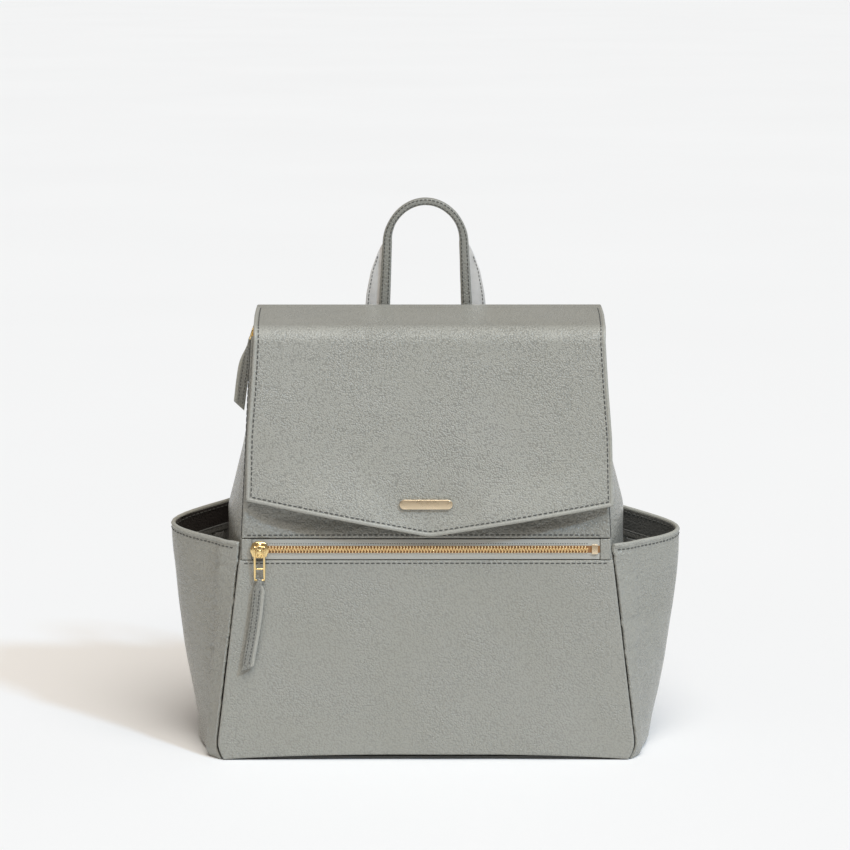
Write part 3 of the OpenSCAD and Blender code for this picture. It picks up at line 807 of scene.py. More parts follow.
def flap_profile():
    """The flap's outer line seen from the side, from its seam on the back, over the top, to the
    lowest point of the front, as points with the run along it."""
    offset = (front_y(FLAP_LO.z + 0.05) - FLAP_LO.y) - SLOPE * 0.05 + 0.4 * MM
    top = TOP_HI.z
    crown = 4.2 * MM
    back = ANCHOR_HI.y + 0.8 * MM
    pts = [Vector((0, back - 0.2 * MM, BODY_TOP - 26 * MM)), Vector((0, back, BODY_TOP - 10 * MM))]
    r = 9 * MM
    centre = Vector((0, back - r, top + crown - r))
    for i in range(0, 91, 10):
        a = math.radians(i)
        pts.append(centre + Vector((0, r * math.cos(a), r * math.sin(a))))
    y1 = centre.y - 2 * MM
    r2 = 15 * MM
    y0 = front_y(top - r2) - offset + r2
    for i in range(1, 12):
        f = i / 12
        drop = mix(crown, 0.6 * MM, ease(f))
        pts.append(Vector((0, mix(y1, y0, f), top + drop + 0.8 * MM * math.sin(math.pi * f))))
    centre2 = Vector((0, y0, top + 0.6 * MM - r2))
    for i in range(0, 90 - int(math.degrees(LEAN)), 8):
        a = math.radians(i)
        pts.append(centre2 + Vector((0, -r2 * math.sin(a), r2 * math.cos(a))))
    z_end = FLAP_LO.z - 0.01
    start = pts[-1]
    for i in range(1, 25):
        z = mix(start.z, z_end, i / 24)
        pts.append(Vector((0, front_y(z) - offset, z)))
    return pts, runs(pts)


PROFILE, RUN = flap_profile()


def profile_at(s):
    ys = np.interp(s, RUN, [p.y for p in PROFILE])
    zs = np.interp(s, RUN, [p.z for p in PROFILE])
    return float(ys), float(zs)


def profile_normal(s):
    y0, z0 = profile_at(max(0, s - 1 * MM))
    y1, z1 = profile_at(min(RUN[-1], s + 1 * MM))
    d = Vector((0, y1 - y0, z1 - z0)).normalized()
    return Vector((0, d.z, -d.y))


def run_at_z(z):
    """The run at which the flap's front is at height z."""
    far = [(r, p.z) for r, p in zip(RUN, PROFILE) if p.y < -0.03]
    zs = [p[1] for p in far][::-1]
    rs = [p[0] for p in far][::-1]
    return float(np.interp(z, zs, rs))


FLAP_HALF = FLAP_HI.x
CORNER_Z = min(v.co.z for v in frame["nodes"]["flap_front_leather"].data.vertices
               if abs(v.co.x) > FLAP_HALF - MM)
TIP_RUN = run_at_z(FLAP_LO.z)
CORNER_RUN = run_at_z(CORNER_Z)
SPLIT_RUN = RUN[0] + 62 * MM  # where the flap's back piece meets its front piece


def flap_end(s):
    """Run of the flap's lower edge at s from -1 to 1: a shallow V with an eased tip."""
    eased = math.sqrt(s * s + 0.0006)
    return mix(TIP_RUN, CORNER_RUN, min(1.0, eased)) + 1.2 * MM + 2.2 * MM * s


WIDTH_RUNS = (0, 0.10, 0.165, 0.205, 0.245, 0.32)
WIDTH_CHANGES = (-3.5, -5.0, -7.5, -5.0, -1.8, 0.0)  # mm


def flap_half(run):
    """Half the flap's width: narrow at the fold, wider where it hangs over the body."""
    return float(np.interp(run, WIDTH_RUNS, [FLAP_HALF + d * MM for d in WIDTH_CHANGES]))


def flap_point(s, run, depth=0.0):
    """A point of the flap at s across and at that run, depth under its outer face."""
    y, z = profile_at(run)
    n = profile_normal(run)
    front = clamp((run - 0.16) / 0.15)
    x = s * flap_half(run) + 3.0 * MM
    foot = max(0.0, flap_end(s) - run)
    tuck = -1.3 * MM * front * abs(s) ** 8
    plate = math.exp(-(x / (34 * MM)) ** 4 - ((z - BADGE_MID.z) / (16 * MM)) ** 4)
    side = math.sin(math.pi * min(1.0, abs(s))) ** 1.3
    lift = 6.5 * MM * math.exp(-(foot / (30 * MM)) ** 2) * side * (1 - plate)
    ripple = 0.7 * MM * wave((x, z, 2), 0.075) * front * (1 - plate)
    return Vector((x, y, z)) + n * (lift + tuck + ripple - depth)


def flap_sheet(name, run0, run1_of, t, depth, inset, material, cu, cv, rounded):
    size = (2 * FLAP_HALF, run1_of(0) - run0)
    r = t / 2
    w = 1 - inset / FLAP_HALF

    def middle(u, v):
        s = (2 * u - 1) * w
        return flap_point(s, mix(run0, run1_of(2 * u - 1) - (inset if rounded[3] else 0), 1 - v), depth)

    return thick_sheet(name, middle, steps(cu, size[0], r, rounded[0], rounded[1]),
                       steps(cv, size[1], r, rounded[3], rounded[2]), size, t, material, r=r,
                       rounded=(rounded[0], rounded[1], rounded[3], rounded[2]))


def flap():
    # where each bend starts and ends: from one body's motion to the next one's. bend below takes them but
    # doesn't use them: it only bakes each piece's transform and hides the CAD nodes.
    lift = ("bag", "flap_top", Vector((0, ANCHOR_HI.y, BODY_TOP - 6 * MM)),
            Vector((0, BACK_Y - 12 * MM, TOP_HI.z)))
    fold_y = front_y(TOP_HI.z) - 7 * MM
    fold = ("flap_top", "flap_front", Vector((0, fold_y + 17 * MM, TOP_HI.z)),
            Vector((0, fold_y - 1 * MM, TOP_HI.z - 18 * MM)))

    def bend(obj, slot, how, *nodes):
        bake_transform(obj)
        if nodes:
            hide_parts(*nodes)

    t = 2.2 * MM
    back = flap_sheet("flap_leather_back", RUN[0], lambda s: SPLIT_RUN, t, t / 2, 0, LEATHER_FLAP,
                      40, 24, (1, 1, 1, 0))
    bend(back, "leather", lift, "flap_top_leather")
    front = flap_sheet("flap_leather_front", SPLIT_RUN, flap_end, t, t / 2, 0, LEATHER_FLAP,
                       90, 110, (1, 1, 0, 1))
    bend(front, "leather", fold, "flap_front_leather", "flap_front_foam")
    lining_t = 1.1 * MM
    back_lining = flap_sheet("flap_lining_back", RUN[0] + 34 * MM, lambda s: SPLIT_RUN, lining_t,
                             t + lining_t / 2 + 0.1 * MM, 1.6 * MM, LINING, 30, 10, (1, 1, 1, 0))
    bend(back_lining, "lining", lift, "flap_top_lining")
    front_lining = flap_sheet("flap_lining_front", SPLIT_RUN, flap_end, lining_t,
                              t + lining_t / 2 + 0.1 * MM, 1.6 * MM, LINING, 60, 70, (1, 1, 0, 1))
    bend(front_lining, "lining", fold, "flap_front_lining")

    # a turned edge band shows beside the stitches, all round the front part
    edge_w = 3.4 * MM
    edge_t = 3.2 * MM

    def side_band(name, side):
        def middle(u, v):
            k = 1 - u if side < 0 else u
            s = side * (1 - (1 - k) * edge_w / FLAP_HALF)
            run = mix(SPLIT_RUN, flap_end(s), 1 - v)
            return flap_point(s, run, edge_t / 2 - 0.5 * MM)
        length = CORNER_RUN - SPLIT_RUN
        return sheet(name, middle, (4, 90), (edge_w, length), edge_t, LEATHER_EDGE, r=1.5 * MM)

    def foot_band(name):
        def middle(u, v):
            s = 2 * u - 1
            return flap_point(s, flap_end(s) - edge_w * v, edge_t / 2 - 0.5 * MM)
        return sheet(name, middle, (90, 4), (2 * FLAP_HALF, edge_w), edge_t, LEATHER_EDGE, r=1.5 * MM)

    for obj in (side_band("flap_edge_left", -1), side_band("flap_edge_right", 1),
                foot_band("flap_edge_foot")):
        bend(obj, "leather", fold)

    # stitches inside the band, down one side, along the V and up the other
    inset = 4.3 * MM
    w = 1 - inset / FLAP_HALF
    path = [(-w, r) for r in np.linspace(SPLIT_RUN + 0.004, flap_end(-w) - inset, 60)]
    path += [(s, flap_end(s) - inset) for s in np.linspace(-w, w, 90)[1:]]
    path += [(w, r) for r in np.linspace(flap_end(w) - inset, SPLIT_RUN + 0.004, 60)[1:]]
    pts = [flap_point(s, r) for s, r in path]
    nrm = [profile_normal(r) for s, r in path]
    bend(stitches("flap_stitches", pts, nrm), "leather", fold)

    badge()


def badge():
    plate = rounded_copy("badge", GOLD_PALE, "gold", name="blank_plate", width=0.5 * MM)
    for v in plate.data.vertices:
        v.co += FRONT_OUT * 1.1 * MM


def zip_front():
    """The front zip: two tapes, a bead under the teeth coloured dark warm brown as painted shade for the gaps
    between them, the teeth and a row of small stitches.
    """
    z_mid = (PANEL_TOP + UPPER_FOOT) / 2
    base = Vector((0, front_y(z_mid), z_mid))

    def at(x, up, out):
        return base + Vector((x, 0, 0)) + FRONT_UP * up + FRONT_OUT * out

    lo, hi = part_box("front_teeth_upper")
    pitch = 2.6 * MM
    count = int((hi.x - lo.x - 2 * MM) / pitch)
    for word, up, shift in (("upper", 1, 0.0), ("lower", -1, pitch / 2)):
        rods = []
        for i in range(count):
            x = lo.x + 1.4 * MM + shift + i * pitch
            rods.append((at(x - 0.55 * MM, up * 2.9 * MM, 0.1 * MM),
                         at(x + 0.45 * MM, -up * 1.2 * MM, 0.25 * MM),
                         FRONT_OUT, 0.62 * MM, 0.85 * MM))
        place(capsules(f"zip_teeth_{word}", rods, GOLD_TEETH), "bag", "gold", f"front_teeth_{word}")
        x0, x1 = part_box(f"front_tape_{word}")[0].x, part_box(f"front_tape_{word}")[1].x

        def tape(u, v):
            h = mix(2.2 * MM, 8.4 * MM, v)
            ridge = 0.5 * MM * math.exp(-((h - 3.4 * MM) / (0.7 * MM)) ** 2)
            p = at(mix(x0, x1, u), up * h, -1.5 * MM + ridge)
            return p + FRONT_OUT * 0.12 * MM * wave((p.x, h * 6, up), 0.02)

        place(sheet(f"zip_tape_{word}", mirrored(tape, up), (90, 16), (x1 - x0, 6.2 * MM), 0.8 * MM, TAPE),
              "bag", "tape", f"front_tape_{word}")

    def bead(u, v):
        return at(mix(lo.x - 3 * MM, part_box("front_tape_upper")[1].x, u), mix(-3.1 * MM, 3.1 * MM, v),
                  -1.0 * MM)

    # the bead's dark colour is painted shade between the teeth
    place(thick_sheet("zip_bead", bead, steps(60, 0.28, 0.4 * MM), steps(6, 6 * MM, 0.4 * MM),
                      (0.28, 6.2 * MM), 0.8 * MM, BEAD_PAINTED_SHADE), "bag", "tape")
    pts = [at(mix(lo.x, hi.x, i / 60), 4.6 * MM, -1.0 * MM) for i in range(61)]
    place(stitches("zip_tape_stitches", pts, [FRONT_OUT] * 61, pitch=2.0 * MM, length=1.2 * MM,
                   r=0.3 * MM), "bag", "tape")


def joint_place(name):
    j = next(j for j in frame["joints"] if j["name"] == name)
    return Vector(j["pos_m"])


TAB_TILT = math.radians(7.5)


def leather_tab(node, joint, down, out, w, length, name, twist=0.0):
    """A pull tab: a strip folded over the link's pin, with two rows of stitches and a turned edge.
    twist is how far it has turned about its own length at its lower end."""
    pin = joint_place(joint)
    down = Vector(down).normalized()
    out = Vector(out).normalized()
    across = out.cross(down).normalized()
    if across.x + across.y < 0:
        across = -across
    t = 2.4 * MM

    def turned(v):
        """The directions across and out at v, after the twist."""
        a = twist * ease(clamp((v - 0.06) / 0.42))
        return across * math.cos(a) + out * math.sin(a), out * math.cos(a) - across * math.sin(a)

    def half(v):
        return mix(2.0 * MM, w / 2, clamp((v * length - 2 * MM) / (6 * MM)))

    def strip(u, v):
        s = 2 * u - 1
        slant = 6 * MM * (s + 1) / 2 * max(0.0, v) ** 6
        d = v * length - slant
        arch = 0.5 * MM * (1 - s * s)
        sway = 0.9 * MM * math.sin(math.pi * 1.3 * v)
        side, face = turned(v)
        return pin + down * (d + 0.4 * MM) + side * (s * half(v) + sway) + face * arch

    rider = frame["nodes"][node]["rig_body"]
    place(sheet(name, strip, (8, 40), (w, length), t, LEATHER_TAB, r=1.1 * MM), rider, "leather", node)

    def fold(u, v):
        s = mix(0.42, 1.02, u)
        at = mix(0.05, 0.985, v)
        return strip((s + 1) / 2, at) + turned(at)[1] * (1.1 * MM - 0.8 * MM * (1 - u))

    edge = thick_sheet(name + "_fold", fold, steps(5, 3 * MM, 0.8 * MM), steps(40, length, 0.8 * MM),
                       (3 * MM, length * 0.93), 1.7 * MM, LEATHER_EDGE, r=0.8 * MM)
    place(edge, rider, "leather")
    for k, s in enumerate((-0.62, 0.16)):
        rows = [mix(0.10, 0.94, i / 30) for i in range(31)]
        nrm = [turned(v)[1] for v in rows]
        pts = [strip((s + 1) / 2, v) + n * (t / 2) for v, n in zip(rows, nrm)]
        place(stitches(f"{name}_stitches_{k}", pts, nrm, pitch=3.0 * MM, length=2.0 * MM,
                       r=0.4 * MM), rider, "leather")
    loop = [(pin + across * -2.0 * MM, pin + across * 2.0 * MM, out, 1.5 * MM, 1.5 * MM)]
    place(capsules(name + "_loop", loop, LEATHER_TAB, sides=12), rider, "leather")


# heights and |x| of the backing's outer edge
BACKING_EDGE = ((0.320, 0.0545), (0.350, 0.0535), (0.372, 0.0515), (0.392, 0.0475), (0.408, 0.0415),
                (0.418, 0.0365))


def handle():
    """The grab handle: a folded leather strap that widens down its legs, over a backing made pale as painted
    light.
    """
    lo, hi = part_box("handle_grip")
    foot_z, top_z, y_mid = lo.z + 3 * MM, hi.z, (lo.y + hi.y) / 2
    foot_x = hi.x - 5.5 * MM
    arch_r = 33.2 * MM
    arch_z = top_z - 3.5 * MM - arch_r * 1.06
    line = []
    for i in range(15):
        f = i / 15
        line.append((mix(foot_x, arch_r, f ** 0.9), mix(foot_z, arch_z, f)))
    for i in range(61):
        a = math.pi * i / 60
        line.append((arch_r * math.cos(a) * (1 - 0.03 * math.sin(a) ** 2),
                     arch_z + 1.06 * arch_r * math.sin(a)))
    line += [(-x, z) for x, z in reversed(line[:15])]
    n = len(line) - 1

    def frame_at(k):
        k = clamp(k) * n
        i = min(n - 1, int(k))
        f = k - i
        x, z = mix(line[i][0], line[i + 1][0], f), mix(line[i][1], line[i + 1][1], f)
        dx, dz = line[i + 1][0] - line[i][0], line[i + 1][1] - line[i][1]
        d = math.hypot(dx, dz)
        return x, z, dz / d, -dx / d

    sides = 28

    def section(k):
        """Half width seen from the front and half depth: flat at the feet, on edge at the top."""
        rise = abs(2 * k - 1)
        flat = max(0.0, (rise - 0.45) / 0.55)
        return mix(3.2 * MM, 5.5 * MM, flat), mix(4.9 * MM, 3.0 * MM, flat)

    verts, faces, rings = [], [], 170
    for j in range(rings + 1):
        k = j / rings
        x, z, ox, oz = frame_at(k)
        a, b = section(k)
        for q in range(sides):
            t = 2 * math.pi * q / sides
            c, s = math.cos(t), math.sin(t)
            c = math.copysign(abs(c) ** 0.55, c)
            s = math.copysign(abs(s) ** 0.55, s)
            grow = 1 + 0.02 * noise.noise(Vector((k * 40, q * 0.4, 3)))
            verts.append((x + ox * a * c * grow, y_mid + b * s * grow, z + oz * a * c * grow))
    for j in range(rings):
        for q in range(sides):
            w = (q + 1) % sides
            faces.append((j * sides + q, j * sides + w, (j + 1) * sides + w, (j + 1) * sides + q))
    faces.append(tuple(reversed(range(sides))))
    faces.append(tuple(rings * sides + q for q in range(sides)))
    place(mesh_object("handle_strap", verts, faces, LEATHER_HANDLE), "handle", "leather", "handle_grip")
    for face, word in ((-1, "front"), (1, "back")):
        for edge in (-0.55, 0.55):
            pts, nrm = [], []
            for j in range(4, 197):
                k = j / 200
                x, z, ox, oz = frame_at(k)
                a, b = section(k)
                pts.append(Vector((x + ox * a * edge, y_mid + face * (b + 0.05 * MM), z + oz * a * edge)))
                nrm.append(Vector((0, face, 0)))
            tag = "inner" if edge < 0 else "outer"
            place(stitches(f"handle_stitches_{word}_{tag}", pts, nrm, pitch=3.6 * MM, length=2.5 * MM,
                           r=0.42 * MM), "handle", "leather")

    bl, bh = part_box("handle_backing")
    y_back = (bl.y + bh.y) / 2
    for side, word in SIDES:
        def wing(u, v):
            z = mix(foot_z, bh.z + 3 * MM, v)
            k = np.interp(z, [p[1] for p in line[:15]] + [arch_z + 30 * MM],
                          [p[0] for p in line[:15]] + [arch_r - 9 * MM])
            reach = np.interp(z, *zip(*BACKING_EDGE)) - float(k)
            x = float(k) + max(0.6 * MM, reach) * u
            y = y_back + 1.6 * MM * u * math.sin(math.pi * min(1, v * 1.1)) + 0.3 * MM * wave((x, z, 1), 0.01)
            return (side * x, y, z)

        size = (14 * MM, bh.z - foot_z)
        # the backing's pale colour is painted light
        piece = sheet("handle_backing_" + word, mirrored(wing, side), (10, 40), size, 1.8 * MM, BACKING_PAINTED_LIGHT,
                      r=0.8 * MM)
        place(piece, "handle", "tape", "handle_backing")
        pts = [Vector(wing(0.86, mix(0.05, 0.9, i / 30))) + Vector((0, -1.0 * MM, 0)) for i in range(31)]
        place(stitches(f"handle_backing_stitches_{word}", pts, [FORWARD] * 31, pitch=3.4 * MM,
                       length=2.2 * MM, r=0.35 * MM), "handle", "tape")


def pull(word, lift_joint, tab_joint, out, up):
    """A zip slider with a rounded body and a crown, and its H link, in place of the plain ones."""
    pin, foot = joint_place(lift_joint), joint_place(tab_joint)
    out, up = Vector(out).normalized(), Vector(up).normalized()
    across = up.cross(out).normalized()
    slider_lo, slider_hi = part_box(word + "_slider")
    centre = (slider_lo + slider_hi) / 2
    floor = centre + out * ((pin - centre).dot(out) - 2.2 * MM)
    long = abs((slider_hi - slider_lo).dot(Vector([abs(c) for c in up]))) / 2
    shell = [(floor + up * long * 0.95, floor - up * long * 0.95, out, 7.0 * MM, 1.3 * MM)]
    collar = [(floor + up * long * 0.62, floor - up * long * 0.62, out, 7.6 * MM, 1.0 * MM)]
    crown = []
    arc = [(-0.80, 0.8), (-0.52, 2.2), (0.0, 2.8), (0.52, 2.2), (0.85, 0.8)]
    for (a, ha), (b, hb) in zip(arc, arc[1:]):
        crown.append((floor + up * long * a + out * ha * MM, floor + up * long * b + out * hb * MM,
                      out, 2.0 * MM, 0.8 * MM))
    body = word + "_slider"
    place(capsules(word + "_slider_body", shell + collar, GOLD, sides=24), body, "gold",
          word + "_slider")
    place(capsules(word + "_slider_crown", crown, GOLD, sides=14), body, "gold")
    down = (foot - pin).normalized()
    wide, r = 3.9 * MM, 1.0 * MM
    face = across.cross(down).normalized()
    length = (foot - pin).length
    rods = [(pin + across * s * wide - down * r, foot + across * s * wide + down * r, face, r, r)
            for s in (-1, 1)]
    bars = [0.0, length] + ([length * 0.66] if length > 20 * MM else [])
    rods += [(pin + down * d - across * wide, pin + down * d + across * wide, face, 0.8 * MM, 0.8 * MM)
             for d in bars]
    place(capsules(word + "_link_bars", rods, GOLD, sides=14), word + "_link", "gold",
          word + "_link")


def edge_seam():
    """The dark seam between the upper front and each side, above the pockets."""
    for side, word in SIDES:
        pts = [Vector((side * (seam_x(z) + 0.1 * MM), front_y(z) + 2.4 * MM, z))
               for z in np.linspace(UPPER_FOOT, BODY_TOP - 4 * MM, 30)]
        rods = [(a, b, Vector((side, 0, 0)), 0.9 * MM, 0.9 * MM) for a, b in zip(pts, pts[1:])]
        place(capsules("front_seam_" + word, rods, THREAD, sides=8), "bag", "leather")


class Band:
    """A CAD node that is a long band on the back: its line and its two faces."""

    def __init__(self, node):
        o = frame["nodes"][node].data
        verts = np.array([tuple(v.co) for v in o.vertices])
        self.tree = tree_of(o)
        self.slope, self.start = np.polyfit(verts[:, 2], verts[:, 0], 1)
        lean = math.hypot(1, self.slope)
        off = np.abs(verts[:, 0] - (self.start + self.slope * verts[:, 2])) / lean
        self.half = float(off.max())
        self.low, self.high = float(verts[:, 2].min()), float(verts[:, 2].max())
        self.across = Vector((1, 0, -self.slope)) / lean

    def face(self, z):
        """The y of the inner and the outer face on the band's middle line."""
        x = self.start + self.slope * z
        outer = self.tree.ray_cast(Vector((x, 1, z)), FORWARD)[0]
        inner = self.tree.ray_cast(Vector((x, -1, z)), BACKWARD)[0]
        return None if outer is None else (inner.y, outer.y)

    def middle(self, k):
        end = self.half * abs(self.slope) + 3 * MM
        z = mix(self.low + end, self.high - end, k)
        found = self.face(z)
        x = self.start + self.slope * z
        return Vector((x, (found[0] + found[1]) / 2, z)), found[1] - found[0]


def straps():
    """Padded shoulder straps: a crowned leather face, a mesh back, a pinched seam down each edge."""
    for side, word in SIDES:
        band = Band("strap_" + word)
        count = 90
        line = [band.middle(i / count) for i in range(count + 1)]
        length = sum((b[0] - a[0]).length for a, b in zip(line, line[1:]))

        def at(u, v):
            k = clamp(v) * count
            i = min(count - 1, int(k))
            p = line[i][0].lerp(line[i + 1][0], k - i)
            s = 2 * u - 1
            p = p + band.across * s * (band.half - 1 * MM)
            p.y += 0.25 * MM * wave((p.x * 2, p.z, side), 0.018)
            return p

        pad_t = 7.4 * MM
        pad = thick_sheet("strap_pad_" + word, mirrored(at, -1), steps(20, 2 * band.half, 5 * MM),
                          steps(90, length, 5 * MM), (2 * band.half, length), pad_t, LEATHER_SIDE,
                          r=5.5 * MM, inner=MESH)
        place(pad, "bag", "leather", "strap_" + word)
        for edge, inset in ((0.011, 0.13), (0.989, 0.87)):
            rim = [at(edge, i / 60) for i in range(61)]
            welt = [(a, b, BACKWARD, 1.9 * MM, 0.9 * MM) for a, b in zip(rim, rim[1:])]
            tag = "in" if (edge < 0.5) == (side > 0) else "out"
            place(capsules(f"strap_welt_{word}_{tag}", welt, LEATHER_EDGE, sides=10), "bag", "leather")
            row = [at(inset, mix(0.01, 0.99, i / 120)) + Vector((0, pad_t / 2 - 0.15 * MM, 0))
                   for i in range(121)]
            place(stitches(f"strap_stitches_{word}_{tag}", row, [BACKWARD] * 121), "bag",
                  "leather")


def ring_of_stitches(name, corners, out, inset):
    """Stitches round a flat outline, a little inside it."""
    centre = sum(corners, Vector()) / len(corners)
    inner = [c + (centre - c).normalized() * inset * 1.3 for c in corners]
    pts = []
    for a, b in zip(inner, inner[1:] + inner[:1]):
        pts += [a.lerp(b, i / 24) for i in range(24)]
    pts.append(inner[0])
    place(stitches(name, pts, [out] * len(pts)), "bag", "leather")


def back_side():
    """The back: stitched panel, yoke, corner anchors and ribbed webbing."""
    lo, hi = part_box("back_panel")
    y = hi.y + 0.2 * MM
    low_x = half_width("back_panel", lo.z + 1 * MM, 3 * MM)
    high_x = half_width("back_panel", hi.z - 1 * MM, 3 * MM)
    ring_of_stitches("back_stitches", [Vector((-low_x, y, lo.z)), Vector((low_x, y, lo.z)),
                                       Vector((high_x, y, hi.z)), Vector((-high_x, y, hi.z))], BACKWARD,
                     7 * MM)
    lo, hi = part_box("yoke")
    top = half_width("yoke", hi.z, 1 * MM)
    foot = half_width("yoke", lo.z, 1 * MM)
    wide_z = next(v.co.z for v in frame["nodes"]["yoke"].data.vertices if v.co.x > hi.x - 0.1 * MM)
    y = hi.y + 0.2 * MM
    ring_of_stitches("yoke_stitches", [Vector(c) for c in (
        (-top, y, hi.z), (-hi.x, y, wide_z), (-foot, y, lo.z), (foot, y, lo.z), (hi.x, y, wide_z),
        (top, y, hi.z))], BACKWARD, 4 * MM)
    for side, word in SIDES:
        lo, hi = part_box("strap_anchor_" + word)
        y = hi.y + 0.2 * MM
        near, far = sorted((abs(lo.x), abs(hi.x)))
        outline = [Vector((side * near, y, lo.z)), Vector((side * far, y, lo.z)),
                   Vector((side * (far - 2 * MM), y, hi.z))]
        ring_of_stitches("anchor_stitches_" + word, outline, BACKWARD, 5 * MM)
        webbing(word)


WEBBING_HALF = 12.3 * MM


def webbing(word):
    node = frame["nodes"]["webbing_" + word].data
    pts = [v.co for v in node.vertices]
    low = [p for p in pts if p.z < min(q.z for q in pts) + 12 * MM]
    high = [p for p in pts if p.z > max(q.z for q in pts) - 12 * MM]
    a, b = sum(low, Vector()) / len(low), sum(high, Vector()) / len(high)
    along = (b - a).normalized()
    across = along.cross(BACKWARD).normalized()
    out = across.cross(along).normalized()
    if out.y < 0:
        out = -out
        across = -across
    half, length = WEBBING_HALF, (b - a).length

    def at(u, v):
        s = 2 * u - 1
        rib = 0.22 * MM * math.cos(s * math.pi * 9)
        return a.lerp(b, v) + across * s * half + out * (rib * 0.5 - 0.3 * MM * math.sin(math.pi * v) ** 2)

    flip = mirrored(at, across.cross(along).dot(out))
    piece = sheet("webbing_ribbed_" + word, flip, (60, 40), (2 * half, length), 1.3 * MM, WEBBING,
                  r=0.6 * MM)
    place(piece, "bag", "webbing", "webbing_" + word)


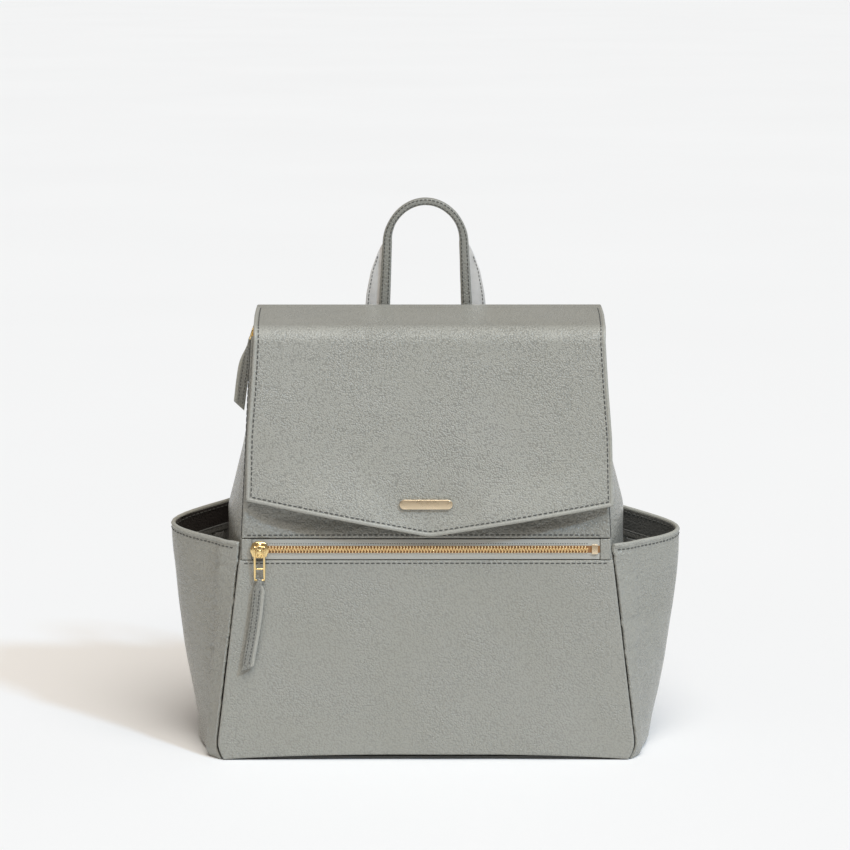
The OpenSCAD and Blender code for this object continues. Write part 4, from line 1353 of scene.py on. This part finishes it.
def main_lining():
    """The lining of the main compartment: a hung bag of cloth with rounded corners and a floor."""
    lo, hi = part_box("lining")
    inset = 0.5 * MM

    def half(z):
        return mix(hi.x, half_width("lining", hi.z, 6 * MM), (z - lo.z) / (hi.z - lo.z)) - inset

    def front(z):
        return front_y(z) + LEATHER_T + 0.5 * MM + 3.6 * MM * recess_at(z)

    back = hi.y - inset

    def loop(z):
        """Corner points of the rounded outline at a height, counter-clockwise from above."""
        a, b, c = half(z), front(z), back
        # the mouth's strips fold down into the top, so the corners are nearly square there
        corner = mix(9 * MM, 0.6 * MM, clamp((z - 230 * MM) / (60 * MM)))
        pts = []
        for cx, cy, start in ((a - corner, c - corner, 0), (-a + corner, c - corner, 90),
                              (-a + corner, b + corner, 180), (a - corner, b + corner, 270)):
            for i in range(6):
                t = math.radians(start + 18 * i)
                pts.append(Vector((cx + corner * math.cos(t), cy + corner * math.sin(t), z)))
        return pts + pts[:1]

    def around(u, z):
        pts = loop(z)
        run = runs(pts)
        at = clamp(u) * run[-1]
        i = max(k for k in range(len(run) - 1) if run[k] <= at)
        return pts[i].lerp(pts[i + 1], (at - run[i]) / max(1e-9, run[i + 1] - run[i]))

    def wall(u, v):
        z = mix(lo.z + 1.2 * MM, hi.z - 0.5 * MM, v)
        p = around(1 - u, z)
        centre = Vector((0, 0, z))
        sag = 1.8 * MM * (0.5 + 0.5 * wave((p.x, p.y, z), 0.05, 4.0)) * math.sin(math.pi * min(1, v * 1.2))
        return p + (centre - p).normalized() * sag

    height = hi.z - lo.z
    around_it = 2 * (half(lo.z + 0.1) * 2 + 0.12)
    shell = thick_sheet("lining_bag", wall, [i / 160 for i in range(161)],
                        steps(50, height, 0.5 * MM), (around_it, height), 0.8 * MM, LINING,
                        r=0.4 * MM, rounded=(0, 0, 1, 1))
    place(shell, "bag", "lining", "lining")

    def floor(u, v):
        z = lo.z + 1.5 * MM
        a, b, c = half(z) - 1 * MM, front(z) + 1 * MM, back - 1 * MM
        p = Vector((mix(-a, a, u), mix(b, c, v), z))
        p.z += 0.8 * MM * (0.5 + 0.5 * wave((p.x, p.y, 3), 0.06))
        return p

    wide, deep = 2 * half(lo.z), back - front(lo.z)
    base = thick_sheet("lining_floor", floor, steps(60, wide, 0.5 * MM), steps(24, deep, 0.5 * MM),
                       (wide, deep), 0.8 * MM, LINING, r=0.4 * MM)
    place(base, "bag", "lining")

    slo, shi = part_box("slip_pocket")

    def slip(u, v):
        x = mix(slo.x, shi.x, u)
        swell = 3.0 * MM * math.sin(math.pi * u) * v ** 2
        y = (slo.y + shi.y) / 2 - swell
        return Vector((x, y + 0.4 * MM * wave((x, v * 0.1, 2), 0.03), mix(slo.z, shi.z, v)))

    wide, tall = shi.x - slo.x, shi.z - slo.z
    pocket_sheet = thick_sheet("slip_pocket_cloth", slip, steps(50, wide, 0.5 * MM),
                               steps(24, tall, 0.5 * MM), (wide, tall), 0.9 * MM, LINING, r=0.45 * MM)
    place(pocket_sheet, "bag", "lining", "slip_pocket")
    row = [slip(i / 80, 0.96) + Vector((0, -0.5 * MM, 0)) for i in range(81)]
    place(stitches("slip_pocket_stitches", row, [FORWARD] * 81, r=0.4 * MM), "bag",
          "lining")


# ---------------------------------------------------------------- the rest, in turn

camera_and_stage()
panels()
for side, word in SIDES:
    side_panel(side, word)
    pocket(side, word)
flap()
zip_front()
handle()
leather_tab("front_tab", "front_tab_swing",
            Vector((-math.sin(TAB_TILT), 0, 0)) - FRONT_UP * math.cos(TAB_TILT), FRONT_OUT,
            10 * MM, 78 * MM, "front_pull_leather")
leather_tab("main_tab", "main_tab_swing", (-0.185, 0.0, -0.98), (-0.98, 0, 0.185), 10 * MM, 62 * MM,
            "side_pull_leather", twist=math.radians(78))

pull("front", "front_pull_lift", "front_tab_swing", FRONT_OUT, FRONT_UP)
pull("main", "main_pull_lift", "main_tab_swing", (-1, 0, 0), (0, 0, 1))
edge_seam()
straps()
back_side()
main_lining()

HARD = {
    "front_zip_stops": (GOLD_PALE, "gold", 0.4), "snap_socket": (GOLD, "gold", 0.4),
    "snap_stud": (GOLD, "gold", 0.4), "adjuster_left": (GOLD, "gold", 0.6),
    "adjuster_right": (GOLD, "gold", 0.6),
    "yoke": (LEATHER, "leather", 1.2),
    "flap_anchor_strip": (LEATHER, "leather", 1.0), "back_panel": (LEATHER, "leather", 1.2),
    "mouth_strip_front": (LEATHER, "leather", 1.0), "mouth_strip_back": (LEATHER, "leather", 1.0),
    "mouth_ends": (LEATHER, "leather", 0.4), "strap_anchor_left": (LEATHER, "leather", 0.6),
    "strap_anchor_right": (LEATHER, "leather", 0.6),
}
for node, (material, slot, width) in HARD.items():
    rounded_copy(node, material, slot, width=width * MM)
for node, (material, slot) in {
    "base_board": (BOARD, "board"),
    "front_pocket_lining": (LINING, "lining"), "side_zip_left": (TAPE, "tape"),
    "side_zip_right": (TAPE, "tape"), "main_teeth_front": (GOLD_TEETH, "gold"),
    "main_teeth_back": (GOLD_TEETH, "gold"), "pocket_floors": (LEATHER, "leather"),
}.items():
    dress(node, material, slot)
